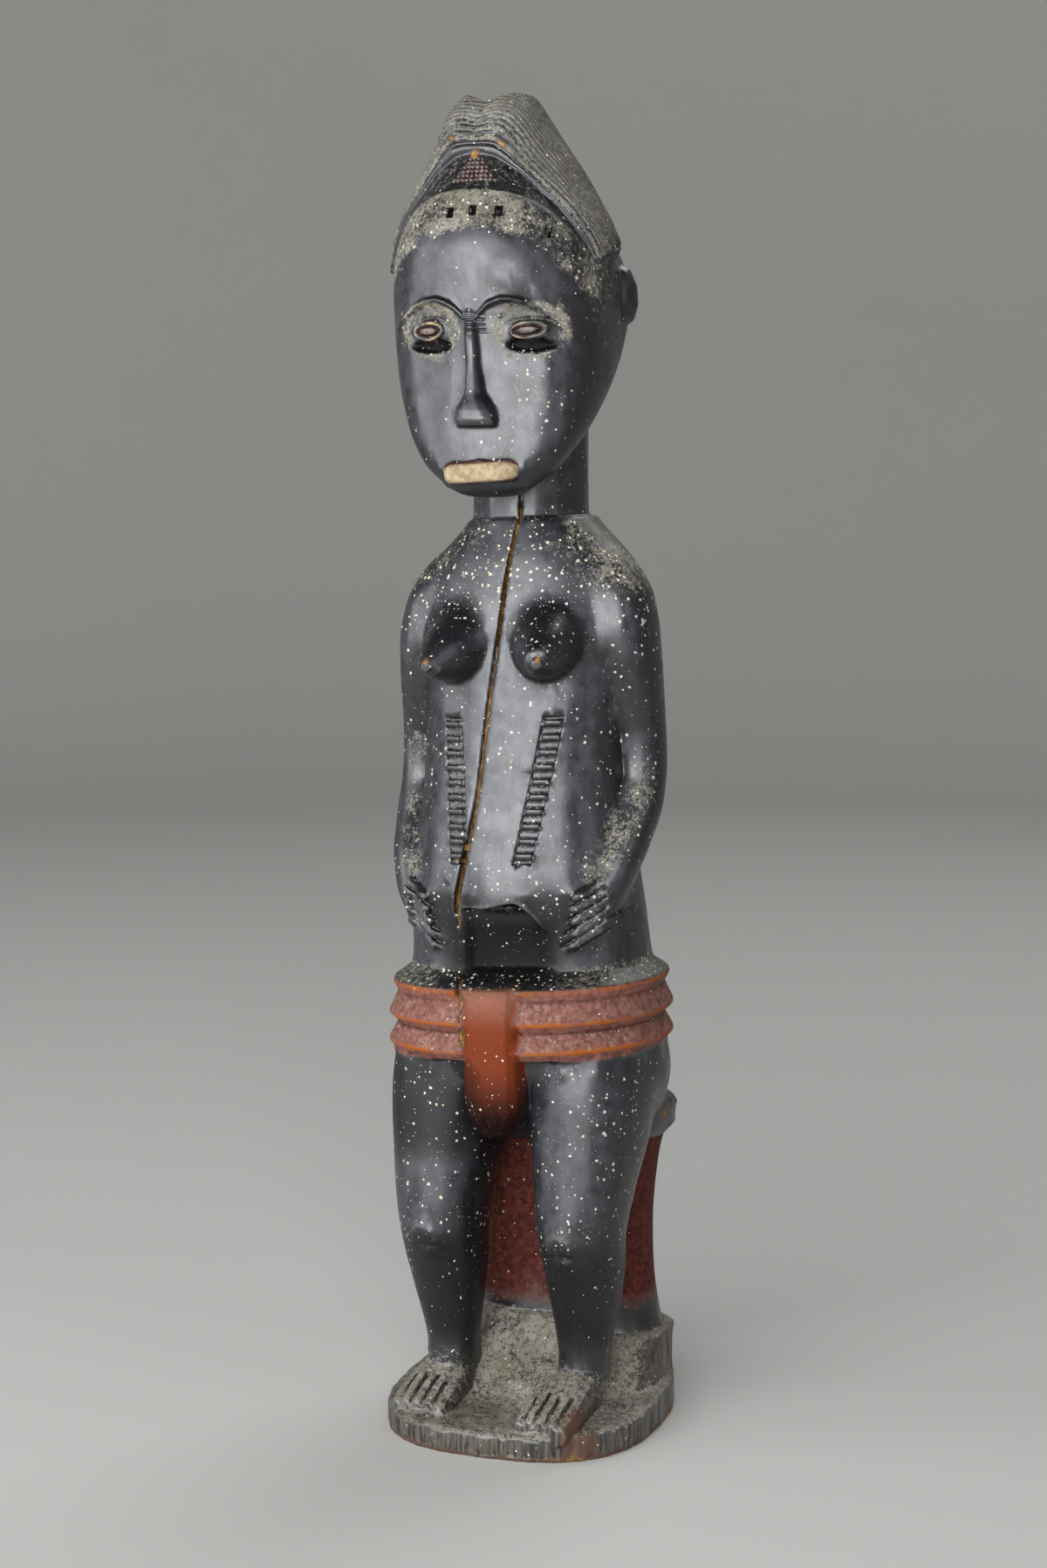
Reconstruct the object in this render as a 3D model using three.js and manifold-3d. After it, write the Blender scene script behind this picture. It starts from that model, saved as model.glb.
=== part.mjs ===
// A seated woman carved from one block of wood, with the stool she sits on and the oval base left on it.
// Millimetres, +Z up. She looks along -Y, her left side is +X, and the origin is the middle of the underside.
import * as THREE from "three";
import { LoftGeometry } from "three/addons/geometries/LoftGeometry.js";
import { mergeVertices } from "three/addons/utils/BufferGeometryUtils.js";
import Module from "manifold-3d";

const wasm = await Module();
wasm.setup();

// The block: a base slab that thins to the front, with the stool's plinth left standing at its back.
const BASE_HALF_WIDTH = 52;
const BASE_HALF_DEPTH = 56;
const BASE_FRONT_HEIGHT = 9.5;
const BASE_BACK_HEIGHT = 15;
const BASE_SQUARENESS = 2.7;
const BASE_EDGE = 1.2;
const PLINTH_HEIGHT = 31;
const PLINTH_HALF_WIDTH = 47.5;
const PLINTH_FRONT = 2;

// The stool: an oval seat on one waisted column.
const SEAT_TOP = 122;
const SEAT_THICKNESS = 14;
const SEAT_HALF_WIDTH = 47.5;
const SEAT_FRONT = -4;
const SEAT_BACK = 53;
const COLUMN_CENTRE = 27;
const COLUMN_WAIST = 39.5;
const COLUMN_FLARE = 44;
const COLUMN_DEPTH_SHARE = 0.56;

// Hand carving is never quite true: the trunk's level lines rise to her left and her head leans to her right.
const TRUNK_RISE = 0.044;
const HEAD_LEAN = 0.075;
const HEAD_LEAN_FROM = 321;

// Columns of a station: height, centre x, half width, front y, back y, squareness of the section.
const TRUNK = [
  [168, 0, 46, -40, 38, 2.3],
  [178, 0, 46, -37.5, 36, 2.3],
  [186, 0, 45.6, -36.5, 34.5, 2.3],
  [194, 0, 45.2, -37.8, 32, 2.3],
  [203, 0, 44.6, -42, 29.5, 2.3],
  [215, 0, 43.2, -42.2, 27.5, 2.3],
  [232, 0, 40.8, -39.8, 25.5, 2.3],
  [256, 0, 39, -36, 25, 2.3],
  [282, 0, 39.5, -34, 26.5, 2.3],
  [302, 0, 42, -32.5, 28.5, 2.3],
  [318, 0, 42.5, -30.5, 28.5, 2.2],
  [330, 0, 38, -27.5, 27.5, 2.1],
  [339, 0, 30.5, -24.5, 25.5, 2],
  [345, 0, 24, -22.5, 23.5, 2],
];
const NECK_RADIUS = 21.7;
const HEAD = [
  [352.5, 0, 12, -44, -33, 2.3],
  [355.5, 0, 18.5, -47, -31, 2.4],
  [363, 0, 25.5, -48.5, -22, 2.5],
  [373, 0, 32, -47.5, -9, 2.6],
  [386, 0, 36.8, -46.5, 8, 2.6],
  [400, 0, 40, -46, 25, 2.6],
  [414, 0, 41.5, -46.5, 38, 2.5],
  [428, 0, 42, -48, 44, 2.4],
  [442, 0, 40, -48.5, 45.5, 2.3],
  [453, 0, 36, -45.5, 44, 2.2],
  [462, 0, 31.5, -39.5, 41.5, 2.1],
  [472, 0, 26.5, -34, 37.5, 2],
  [484, 0, 19.5, -26, 30, 2],
  [493.5, 0, 11.5, -13, 20, 2],
];
const ARM = [
  [194, 36, 3.4, -27.5, -18, 2],
  [203, 37.6, 6.6, -33.5, -14, 2],
  [213, 40, 8.4, -32, -8, 2],
  [227, 42.5, 9.4, -25, 3, 2],
  [240, 44, 9.2, -16.5, 12.5, 2],
  [254, 43.6, 8.8, -11, 14.5, 2],
  [271, 42, 10, -15, 15, 2],
  [290, 40, 11.4, -21, 15, 2],
  [308, 38, 12.4, -23.5, 14.5, 2],
  [321, 35.6, 11, -20.5, 13, 2],
  [332, 30, 8.5, -15.5, 9, 2],
];
const LEG = [
  [22, 26.5, 9.6, -25.5, -4.5, 2.1],
  [34, 26.5, 10.6, -26.5, -5, 2.1],
  [48, 27.2, 13.2, -31, -2, 2.1],
  [62, 27.6, 15.4, -36.5, 1, 2.1],
  [74, 27.4, 15.8, -43, -1.5, 2.2],
  [86, 27.6, 17.2, -45.5, 1, 2.2],
  [102, 28, 19.6, -44, 10, 2.2],
  [120, 27.6, 22.5, -43, 22, 2.2],
  [138, 26.5, 24.5, -42, 30, 2.2],
  [150, 25, 24.5, -40, 34, 2.2],
];
const SEAT_OF_FIGURE = [
  [112, 0, 40, -20, 40, 2.3],
  [122, 0, 48, -30, 46, 2.3],
  [134, 0, 52, -38, 49, 2.3],
  [150, 0, 50, -42, 46, 2.3],
];
// The rolled cloth at the hips: each roll slopes out as it falls and is undercut below its edge.
const BELT_TOP = 178;
const BELT_HALF_WIDTH = 54;
const BELT_FRONT = -49.5;
const BELT_BACK = 46;
const BELT_ROLL_HEIGHTS = [173, 161.5, 151];
const BELT_GROOVE = 3.6;
const BELT_UNDERCUT = 4;
const BELT_RIM_INSET = 1.6;
const FLAP = [
  [117, 0.5, 7, -43, -30, 2.6],
  [121, 0.5, 10, -47, -28, 3],
  [132, 0.4, 11.2, -50.3, -28, 3.4],
  [148, 0.2, 10.6, -51.3, -28, 3.8],
  [165, 0, 10, -51, -28, 4],
  [174, 0, 9.8, -49.5, -28, 4],
];

// Breasts: cones that turn outwards, each with a turned tip.
const BREAST_ROOT = new THREE.Vector3(16.5, -22, 300.5);
const BREAST_TIP = new THREE.Vector3(21, -49.5, 293.5);
const BREASTS_OFF_MIDDLE = -1.6;
const BREAST_ROOT_RADIUS = 15.5;
const BREAST_TIP_RADIUS = 4.6;
const NIPPLE_RADIUS = 2;
const NIPPLE_LENGTH = 2.6;

// The navel stands out over a cut-back lower belly.
const NAVEL = { x: 1.5, front: -45.5, bottom: 200, top: 238, halfWidth: 14 };

// Rows of raised scar bars on the belly, leaning in towards the navel.
const SCAR_COUNT = 10;
const SCARS_RIGHT = { top: -19.8, bottom: -14.8 };
const SCARS_LEFT = { top: 19, bottom: 10.8 };
const SCAR_HEIGHTS = { top: 270.5, bottom: 222.5 };
const SCAR_SIZE = { width: 6.4, height: 2.5, proud: 1.3 };

// Hands on the sides of the belly: five straight fingers each.
const FINGER_COUNT = 5;
const FINGER_RADIUS = 2.1;
const FINGER_LIFT = 0.6;
const KNUCKLES = { first: { x: 37.2, z: 211.5 }, last: { x: 40.2, z: 196.5 } };
const FINGERTIPS = { first: { x: 29.8, z: 207 }, last: { x: 26.6, z: 188 } };

// Feet: the left one is set forward of the right.
const FOOT_LENGTH = 42;
const FOOT_HEEL_Y = -4;
const LEFT_FOOT_ADVANCE = 6;
const RIGHT_FOOT_ADVANCE = -2;
const FOOT_TURN = -0.12;
const TOE_CUTS = 4;
const TOE_PITCH = 4.6;
const TOE_CUT_LENGTH = 17;
const TOE_CUT_WIDTH = 1.5;

// The hair: ridges laid over the head as parallel hoops, tilted a little back from upright.
const HOOP_TILT = THREE.MathUtils.degToRad(18);
const HOOP_CENTRE = new THREE.Vector3(0, -18, 437.5);
const HAIR_DEPTH = 60;
const RIDGE_COUNT = 17;
const RIDGE_DEPTH = 0.85;
const HAIR_THICKNESS = 2.2;
const LOBE_RISE = 4.6;
const LOBE_ANGLE = 0.2;
const LOBE_SPREAD = 0.17;
const HOOP_STOPS = [-1.62, -1.3, -0.98, -0.68, -0.42, -0.2, 0, 0.2, 0.42, 0.68, 0.98, 1.3, 1.62];
const BRAID_RADIUS = 2.6;

// The face: its eyes sit a little to her left of the middle, and its mouth slants a little.
const EYES_OFF_MIDDLE = 1.2;
const EYE_SPACING = 18.7;
const EYE_HEIGHT = 412.6;
const MOUTH_SLANT = 0.06;
const MOUTH_HEIGHT = 362;
const MOUTH_HALF_WIDTH = 15;
const BROW_RISE = 8;
const BROW_WIDTH = 1.2;

// The crack that opened down her front as the wood dried: across, height and the face it runs down.
const CRACK = [
  [119, -3, -46],
  [128, -7, -50],
  [160, -11, -51],
  [178, -13.4, -41],
  [199, -16.5, -38.5],
  [216, -13.5, -41],
  [236, -9.2, -39],
  [258, -7.4, -36],
  [286, -4.2, -34],
  [309, -1.1, -32],
  [328, 0.4, -28],
  [349, 3, -22],
];
const CRACK_WIDTH = 2.3;
const CRACK_DEPTH = 6;

const BLACKENED_WOOD = new THREE.MeshStandardMaterial({ color: 0x24242a, roughness: 0.45, metalness: 0 });

// Turns a closed geometry into a solid that can be joined and cut.
function solidOf(geometry) {
  const bare = geometry.index ? geometry.toNonIndexed() : geometry.clone();
  bare.deleteAttribute("normal");
  bare.deleteAttribute("uv");
  const merged = mergeVertices(bare, 1e-4);
  const triVerts = new Uint32Array(merged.index.array);
  const vertProperties = merged.attributes.position.array;
  return new wasm.Manifold(new wasm.Mesh({ numProp: 3, vertProperties, triVerts }));
}

function geometryOf(solid) {
  const mesh = solid.getMesh();
  return new THREE.BufferGeometry()
    .setAttribute("position", new THREE.BufferAttribute(mesh.vertProperties, 3))
    .setIndex(new THREE.BufferAttribute(mesh.triVerts, 1));
}

const joined = (solids) => solids.reduce((whole, next) => whole.add(next));

// A column's value between stations: a cubic whose slope at each station is that of its neighbours' chord.
function between(stations, column, at) {
  const last = stations.length - 1;
  let low = 0;
  while (low < last - 1 && at > stations[low + 1][0]) low += 1;
  const slope = (index) => {
    const before = stations[Math.max(index - 1, 0)];
    const after = stations[Math.min(index + 1, last)];
    return (after[column] - before[column]) / (after[0] - before[0]);
  };
  const [start, end] = [stations[low], stations[low + 1]];
  const span = end[0] - start[0];
  const t = (at - start[0]) / span;
  const risen = t * t * (3 - 2 * t);
  const leaving = t * (1 - t) * (1 - t) * span * slope(low);
  const arriving = t * t * (t - 1) * span * slope(low + 1);
  return start[column] + (end[column] - start[column]) * risen + leaving + arriving;
}

const power = (value, exponent) => Math.sign(value) * Math.abs(value) ** exponent;

// One level section: a superellipse between the front and the back.
function section(height, [centre, half, front, back, squareness], sides) {
  const points = [];
  const middle = (front + back) / 2;
  const depth = (back - front) / 2;
  for (let i = 0; i < sides; i++) {
    const angle = (i / sides) * 2 * Math.PI;
    const x = centre + half * power(Math.cos(angle), 2 / squareness);
    const y = middle + depth * power(Math.sin(angle), 2 / squareness);
    points.push(new THREE.Vector3(x, y, height));
  }
  return points;
}

const STATION_COLUMNS = [1, 2, 3, 4, 5];

// A rounded form skinned over its stations, smoothed into evenly spaced rows.
function form(stations, rows, sides) {
  const low = stations[0][0];
  const high = stations[stations.length - 1][0];
  const sections = [];
  for (let i = 0; i <= rows; i++) {
    const height = low + ((high - low) * i) / rows;
    const row = STATION_COLUMNS.map((column) => between(stations, column, height));
    sections.push(section(height, row, sides));
  }
  return new LoftGeometry(sections, { capStart: true, capEnd: true });
}

// A form with its stations taken as they are, for edges that have to stay sharp.
function sharpForm(stations, sides) {
  const sections = stations.map(([height, ...row]) => section(height, row, sides));
  return new LoftGeometry(sections, { capStart: true, capEnd: true });
}

const onSide = (stations, side) => stations.map(([height, across, ...row]) => [height, across * side, ...row]);

// Shears: trunk levels that rise to one side, and a head that leans as it goes up.
const trunkRise = new THREE.Matrix4().set(1, 0, 0, 0, 0, 1, 0, 0, TRUNK_RISE, 0, 1, 0, 0, 0, 0, 1);
const headLean = new THREE.Matrix4().set(
  1, 0, -HEAD_LEAN, HEAD_LEAN * HEAD_LEAN_FROM,
  0, 1, 0, 0,
  0, 0, 1, 0,
  0, 0, 0, 1,
);
const sheared = (geometry, matrix) => solidOf(geometry.applyMatrix4(matrix));

function base() {
  const rim = [0, BASE_HALF_WIDTH, -BASE_HALF_DEPTH, BASE_HALF_DEPTH, BASE_SQUARENESS];
  const insetDepth = BASE_HALF_DEPTH - BASE_EDGE;
  const inset = [0, BASE_HALF_WIDTH - BASE_EDGE, -insetDepth, insetDepth, BASE_SQUARENESS];
  const sides = 28;
  const rows = [
    section(0, inset, sides),
    section(BASE_EDGE, rim, sides),
    section(BASE_BACK_HEIGHT - BASE_EDGE, rim, sides),
    section(BASE_BACK_HEIGHT, inset, sides),
  ];
  const slope = (BASE_BACK_HEIGHT - BASE_FRONT_HEIGHT) / (2 * BASE_HALF_DEPTH);
  for (const point of [...rows[2], ...rows[3]]) point.z -= slope * (BASE_HALF_DEPTH - point.y);
  return solidOf(new LoftGeometry(rows, { capStart: true, capEnd: true }));
}

function plinth() {
  const back = BASE_HALF_DEPTH - 1;
  const block = [
    [2, 0, PLINTH_HALF_WIDTH + 1, PLINTH_FRONT - 22, back, 2.8],
    [12, 0, PLINTH_HALF_WIDTH, PLINTH_FRONT - 17, back, 2.8],
    [PLINTH_HEIGHT - 1, 0, PLINTH_HALF_WIDTH - 0.5, PLINTH_FRONT, back - 0.5, 2.6],
    [PLINTH_HEIGHT, 0, PLINTH_HALF_WIDTH - 2, PLINTH_FRONT + 1.5, back - 2, 2.6],
  ];
  const ramp = [
    [5, 0, 34, -44, 30, 3],
    [12, 0, 32, -26, 30, 3],
    [24, 0, 29, -11, 30, 3],
    [39, 0, 26, 1, 30, 3],
  ];
  return solidOf(sharpForm(block, 20)).add(solidOf(form(ramp, 4, 12)));
}

function stool() {
  const foot = PLINTH_HEIGHT - 2;
  const seatFoot = SEAT_TOP - SEAT_THICKNESS;
  const column = [0, 0.25, 0.5, 0.75, 1].map((share) => {
    const flare = (2 * share - 1) ** 2;
    const half = COLUMN_WAIST + (COLUMN_FLARE - COLUMN_WAIST) * flare;
    const depth = half * COLUMN_DEPTH_SHARE;
    const height = foot + share * (seatFoot + 1 - foot);
    return [height, 0, half, COLUMN_CENTRE - depth, COLUMN_CENTRE + depth, 2.3];
  });
  const seat = [
    [seatFoot, 0, SEAT_HALF_WIDTH - 3, SEAT_FRONT + 3, SEAT_BACK - 3, 2.8],
    [seatFoot + 3, 0, SEAT_HALF_WIDTH, SEAT_FRONT, SEAT_BACK, 2.8],
    [SEAT_TOP - 3, 0, SEAT_HALF_WIDTH + 0.6, SEAT_FRONT, SEAT_BACK + 0.6, 2.8],
    [SEAT_TOP, 0, SEAT_HALF_WIDTH - 1, SEAT_FRONT, SEAT_BACK - 1, 2.8],
  ];
  return solidOf(form(column, 5, 18)).add(solidOf(sharpForm(seat, 20)));
}

// A foot is skinned from heel to toe and then laid down, with the toes parted by cuts.
function foot(side, advance) {
  const floor = 6;
  const stations = [
    [0, 0, 6, floor, 20, 2.4],
    [6, 0, 9.5, floor, 26, 2.4],
    [16, 0, 10.8, floor, 27, 2.4],
    [28, 0, 12.2, floor, 22, 2.6],
    [38, 0, 12.4, floor, 17, 3],
    [FOOT_LENGTH, 0, 11.2, floor, 14.5, 3.2],
  ];
  const laid = new THREE.Matrix4().makeRotationX(Math.PI / 2);
  const set = new THREE.Matrix4().makeRotationZ(FOOT_TURN).setPosition(26 * side, FOOT_HEEL_Y - advance, 0);
  let solid = solidOf(form(stations, 5, 10).applyMatrix4(laid).applyMatrix4(set));
  for (let i = 0; i < TOE_CUTS; i++) {
    const across = (i - (TOE_CUTS - 1) / 2) * TOE_PITCH;
    const cut = new THREE.BoxGeometry(TOE_CUT_WIDTH, TOE_CUT_LENGTH, 8);
    cut.rotateX(0.36);
    cut.translate(across, TOE_CUT_LENGTH / 2 - 2 - FOOT_LENGTH, 19.4);
    solid = solid.subtract(solidOf(cut.applyMatrix4(set)));
  }
  return solid;
}

function leg(side) {
  const kneecap = ball(27 * side - 1, -39.5, 79, 7, 6.4, 7, 7);
  return solidOf(form(onSide(LEG, side), 9, 12)).add(solidOf(kneecap));
}

function belt() {
  const depth = (inset) => [0, BELT_HALF_WIDTH - inset, BELT_FRONT + inset, BELT_BACK - inset, 2.2];
  const stations = [[BELT_TOP, 0, 46, -39, 36, 2.3]];
  BELT_ROLL_HEIGHTS.forEach((height, index) => {
    const inset = index === 0 ? BELT_RIM_INSET : 0;
    stations.push([height + 0.8, ...depth(inset + 0.4)]);
    stations.push([height - 0.8, ...depth(inset)]);
    stations.push([height - BELT_UNDERCUT, ...depth(BELT_GROOVE)]);
  });
  return sheared(sharpForm(stations.reverse(), 22), trunkRise);
}

// The turn that lays a form made along +Y along another direction.
function fromUpright(direction) {
  return new THREE.Quaternion().setFromUnitVectors(new THREE.Vector3(0, 1, 0), direction.clone().normalize());
}

const flap = () => sheared(form(FLAP, 6, 12), trunkRise);
const hips = () => solidOf(form(SEAT_OF_FIGURE, 4, 20));

function breast(side) {
  const axis = new THREE.Vector3().subVectors(BREAST_TIP, BREAST_ROOT);
  const length = axis.length();
  const profile = [new THREE.Vector2(0, 0), new THREE.Vector2(BREAST_ROOT_RADIUS, 0)];
  for (let share = 0.25; share < 1; share += 0.25) {
    const full = Math.sqrt(1 - share * share);
    const cone = 1 - share;
    const radius = BREAST_TIP_RADIUS + (BREAST_ROOT_RADIUS - BREAST_TIP_RADIUS) * (0.45 * full + 0.55 * cone);
    profile.push(new THREE.Vector2(radius, share * length));
  }
  profile.push(new THREE.Vector2(BREAST_TIP_RADIUS, length));
  profile.push(new THREE.Vector2(NIPPLE_RADIUS, length + 1));
  profile.push(new THREE.Vector2(NIPPLE_RADIUS, length + NIPPLE_LENGTH));
  profile.push(new THREE.Vector2(0, length + NIPPLE_LENGTH));
  const geometry = new THREE.LatheGeometry(profile, 14);
  geometry.applyQuaternion(fromUpright(axis));
  geometry.translate(BREAST_ROOT.x, BREAST_ROOT.y, BREAST_ROOT.z);
  const solid = side < 0 ? mirror(geometry) : sheared(geometry, trunkRise);
  return solid.translate([BREASTS_OFF_MIDDLE, 0, 0]);
}

// The same form on her other side, its faces turned back to point outwards.
function mirror(geometry, shear = trunkRise) {
  const turned = geometry.clone().applyMatrix4(new THREE.Matrix4().makeScale(-1, 1, 1));
  const index = turned.index.array;
  for (let i = 0; i < index.length; i += 3) [index[i + 1], index[i + 2]] = [index[i + 2], index[i + 1]];
  return sheared(turned, shear);
}

function navel() {
  const { x, front, bottom, top, halfWidth } = NAVEL;
  const stations = [
    [bottom, x, halfWidth - 2.5, front + 2, -25, 2.4],
    [bottom + 3, x, halfWidth, front, -25, 2.4],
    [(bottom + top) / 2, x, halfWidth - 1, front + 3.5, -25, 2.2],
    [top, x, halfWidth - 4, front + 9, -25, 2],
  ];
  return sheared(form(stations, 5, 12), trunkRise);
}

// Where a form's front lies at a distance from its middle and a height.
function frontOf(stations, x, height) {
  const [half, front, back, squareness] = [2, 3, 4, 5].map((column) => between(stations, column, height));
  const depth = (back - front) / 2;
  const share = 1 - Math.abs(x / half) ** squareness;
  return (front + back) / 2 - depth * share ** (1 / squareness);
}

const trunkFront = (x, height) => frontOf(TRUNK, x, height);
const faceFront = (x, height) => frontOf(HEAD, x, height);

function scars(row) {
  const bars = [];
  for (let i = 0; i < SCAR_COUNT; i++) {
    const share = i / (SCAR_COUNT - 1);
    const x = THREE.MathUtils.lerp(row.top, row.bottom, share);
    const z = THREE.MathUtils.lerp(SCAR_HEIGHTS.top, SCAR_HEIGHTS.bottom, share);
    const bar = new THREE.BoxGeometry(SCAR_SIZE.width, 6, SCAR_SIZE.height);
    bar.rotateZ(Math.atan2(x, 60));
    bar.translate(x, trunkFront(x, z) + 3 - SCAR_SIZE.proud, z);
    bars.push(sheared(bar, trunkRise));
  }
  return joined(bars);
}

const arm = (side) => sheared(form(onSide(ARM, side), 10, 10), trunkRise);

function onBelly({ first, last }, share) {
  const x = THREE.MathUtils.lerp(first.x, last.x, share);
  const z = THREE.MathUtils.lerp(first.z, last.z, share);
  return new THREE.Vector3(x, trunkFront(x, z) - FINGER_LIFT, z);
}

function hand(side) {
  const fingers = [];
  for (let i = 0; i < FINGER_COUNT; i++) {
    const share = i / (FINGER_COUNT - 1);
    const knuckle = onBelly(KNUCKLES, share);
    const tip = onBelly(FINGERTIPS, share);
    const along = new THREE.Vector3().subVectors(tip, knuckle);
    const finger = new THREE.CapsuleGeometry(FINGER_RADIUS, along.length(), 1, 5);
    const middle = new THREE.Vector3().addVectors(knuckle, tip).multiplyScalar(0.5);
    finger.applyQuaternion(fromUpright(along));
    finger.translate(middle.x, middle.y, middle.z);
    fingers.push(side < 0 ? mirror(finger) : sheared(finger, trunkRise));
  }
  return joined(fingers);
}

function neck() {
  const stations = [
    [335, -0.5, NECK_RADIUS, -NECK_RADIUS, NECK_RADIUS, 2],
    [372, -1, NECK_RADIUS, -NECK_RADIUS, NECK_RADIUS + 0.5, 2],
    [396, -3, NECK_RADIUS + 1.5, -NECK_RADIUS, NECK_RADIUS + 4, 2],
    [412, -5, NECK_RADIUS + 5, -NECK_RADIUS, NECK_RADIUS + 10, 2],
  ];
  return solidOf(sharpForm(stations, 16));
}

// How far the skull's skin is from a point inside it, along a direction.
function reach(from, direction) {
  const inside = (distance) => {
    const point = from.clone().addScaledVector(direction, distance);
    if (point.z >= HEAD[HEAD.length - 1][0]) return false;
    const [half, front, back, squareness] = [2, 3, 4, 5].map((column) => between(HEAD, column, point.z));
    const across = Math.abs(point.x / half) ** squareness;
    const along = Math.abs((point.y - (front + back) / 2) / ((back - front) / 2)) ** squareness;
    return across + along < 1;
  };
  let [near, far] = [0, 90];
  while (far - near > 0.02) {
    const middle = (near + far) / 2;
    if (inside(middle)) near = middle;
    else far = middle;
  }
  return near;
}

const hoopNormal = new THREE.Vector3(0, Math.cos(HOOP_TILT), Math.sin(HOOP_TILT));
const hoopUp = new THREE.Vector3(0, -Math.sin(HOOP_TILT), Math.cos(HOOP_TILT));
const sideways = new THREE.Vector3(1, 0, 0);

// Two lobes run back over the crown, with a valley between them.
function lobe(fromTop, share) {
  const crest = Math.exp(-(((Math.abs(fromTop) - LOBE_ANGLE) / LOBE_SPREAD) ** 2));
  return LOBE_RISE * crest * Math.sin(Math.PI * (0.12 + 0.88 * share)) ** 0.5;
}

function hair() {
  const hoops = [];
  for (let i = 0; i <= 2 * RIDGE_COUNT; i++) {
    const share = i / (2 * RIDGE_COUNT);
    const centre = HOOP_CENTRE.clone().addScaledVector(hoopNormal, share * HAIR_DEPTH);
    const groove = i % 2 === 0 ? RIDGE_DEPTH : 0;
    const points = HOOP_STOPS.map((fromTop) => {
      const direction = hoopUp.clone().multiplyScalar(Math.cos(fromTop));
      direction.addScaledVector(sideways, Math.sin(fromTop));
      const radius = reach(centre, direction) + HAIR_THICKNESS + lobe(fromTop, share) - groove;
      return centre.clone().addScaledVector(direction, radius);
    });
    hoops.push(points);
  }
  return sheared(new LoftGeometry(hoops, { capStart: true, capEnd: true }), headLean);
}

// The braid that edges the hair, from ear to ear round the back of the head.
function braid() {
  const steps = 12;
  const rings = [];
  const centre = HOOP_CENTRE.clone().addScaledVector(hoopUp, -2);
  for (let i = 0; i <= steps; i++) {
    const angle = (i / steps) * Math.PI;
    const out = sideways.clone().multiplyScalar(Math.cos(angle)).addScaledVector(hoopNormal, Math.sin(angle));
    const middle = centre.clone().addScaledVector(out, reach(centre, out) - 0.3);
    const ring = [];
    for (let k = 0; k < 4; k++) {
      const turn = (-k / 4) * 2 * Math.PI;
      const offset = out.clone().multiplyScalar(Math.cos(turn)).addScaledVector(hoopUp, Math.sin(turn));
      ring.push(middle.clone().addScaledVector(offset, BRAID_RADIUS));
    }
    rings.push(ring);
  }
  return sheared(new LoftGeometry(rings, { capStart: true, capEnd: true }), headLean);
}

function ear(side) {
  const shell = ball(40.5 * side, 10, 427, 4.6, 8, 11.5, 9);
  const hollow = ball(46 * side, 7.5, 427, 4, 4.4, 7, 7);
  return sheared(shell, headLean).subtract(sheared(hollow, headLean));
}

function ball(x, y, z, width, depth, height, segments) {
  const round = new THREE.SphereGeometry(1, segments, Math.round(segments * 0.7));
  return round.scale(width, depth, height).translate(x, y, z);
}

// A thin raised line that springs from the nose and arches over the eye.
function brow(side) {
  const steps = 6;
  const rings = [];
  for (let i = 0; i <= steps; i++) {
    const share = i / steps;
    const x = side * (2 + 31 * share);
    const z = 416.5 + BROW_RISE * Math.sin(Math.PI * share ** 0.8) - 2.5 * share;
    const skin = faceFront(x, z);
    const ring = [];
    for (let k = 0; k < 4; k++) {
      const turn = (-k / 4) * 2 * Math.PI * side;
      ring.push(new THREE.Vector3(x, skin - BROW_WIDTH * Math.cos(turn), z + BROW_WIDTH * Math.sin(turn)));
    }
    rings.push(ring);
  }
  return sheared(new LoftGeometry(rings, { capStart: true, capEnd: true }), headLean);
}

// The face: dished cheeks under arched brows, a long straight nose, bean-shaped eyes and a bar of a mouth.
function head() {
  let solid = sheared(form(HEAD, 13, 20), headLean);
  for (const side of [-1, 1]) {
    solid = solid.subtract(sheared(ball(side * 19.5, -54, 399, 16.5, 11.5, 24, 10), headLean));
    const eye = ball(EYES_OFF_MIDDLE + side * EYE_SPACING, -41.6, EYE_HEIGHT, 8, 3.6, 4, 8);
    solid = solid.add(sheared(eye, headLean));
    solid = solid.add(brow(side));
  }
  const nose = [
    [378.6, 0, 7.6, -53, -38, 3],
    [380.5, 0, 8.3, -54.2, -38, 3],
    [384, 0, 7.6, -54, -38, 2.8],
    [390, 0, 3.9, -52, -38, 2.6],
    [400, 0, 2.7, -50.2, -38, 2.6],
    [419, 0, 2.6, -48.3, -38, 2.6],
  ];
  const lips = [
    [-3.4, 0, MOUTH_HALF_WIDTH - 1.6, -50.6, -38, 3.2],
    [-2, 0, MOUTH_HALF_WIDTH, -51.6, -38, 3.2],
    [2.2, 0, MOUTH_HALF_WIDTH, -51.4, -38, 3.2],
    [3.6, 0, MOUTH_HALF_WIDTH - 1.6, -50.2, -38, 3.2],
  ];
  const mouth = sharpForm(lips, 10).rotateY(-MOUTH_SLANT).translate(0, 0, MOUTH_HEIGHT);
  return solid.add(sheared(sharpForm(nose, 10), headLean)).add(sheared(mouth, headLean));
}

// A wedge that follows the front of the figure from the neck to the cloth flap.
function crack() {
  const rows = 11;
  const [low, high] = [CRACK[0][0], CRACK[CRACK.length - 1][0]];
  const sections = [];
  for (let i = 0; i <= rows; i++) {
    const height = low + ((high - low) * i) / rows;
    const [x, skin] = [1, 2].map((column) => between(CRACK, column, height));
    const half = 0.5 * CRACK_WIDTH * (0.35 + 0.65 * Math.sin((Math.PI * (i + 0.5)) / (rows + 1)));
    const mouth = skin - 6;
    sections.push([
      new THREE.Vector3(x - half * 2, mouth, height),
      new THREE.Vector3(x + half * 2, mouth, height),
      new THREE.Vector3(x, skin + CRACK_DEPTH, height),
    ]);
  }
  return sheared(new LoftGeometry(sections, { capStart: true, capEnd: true }), trunkRise);
}

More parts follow.
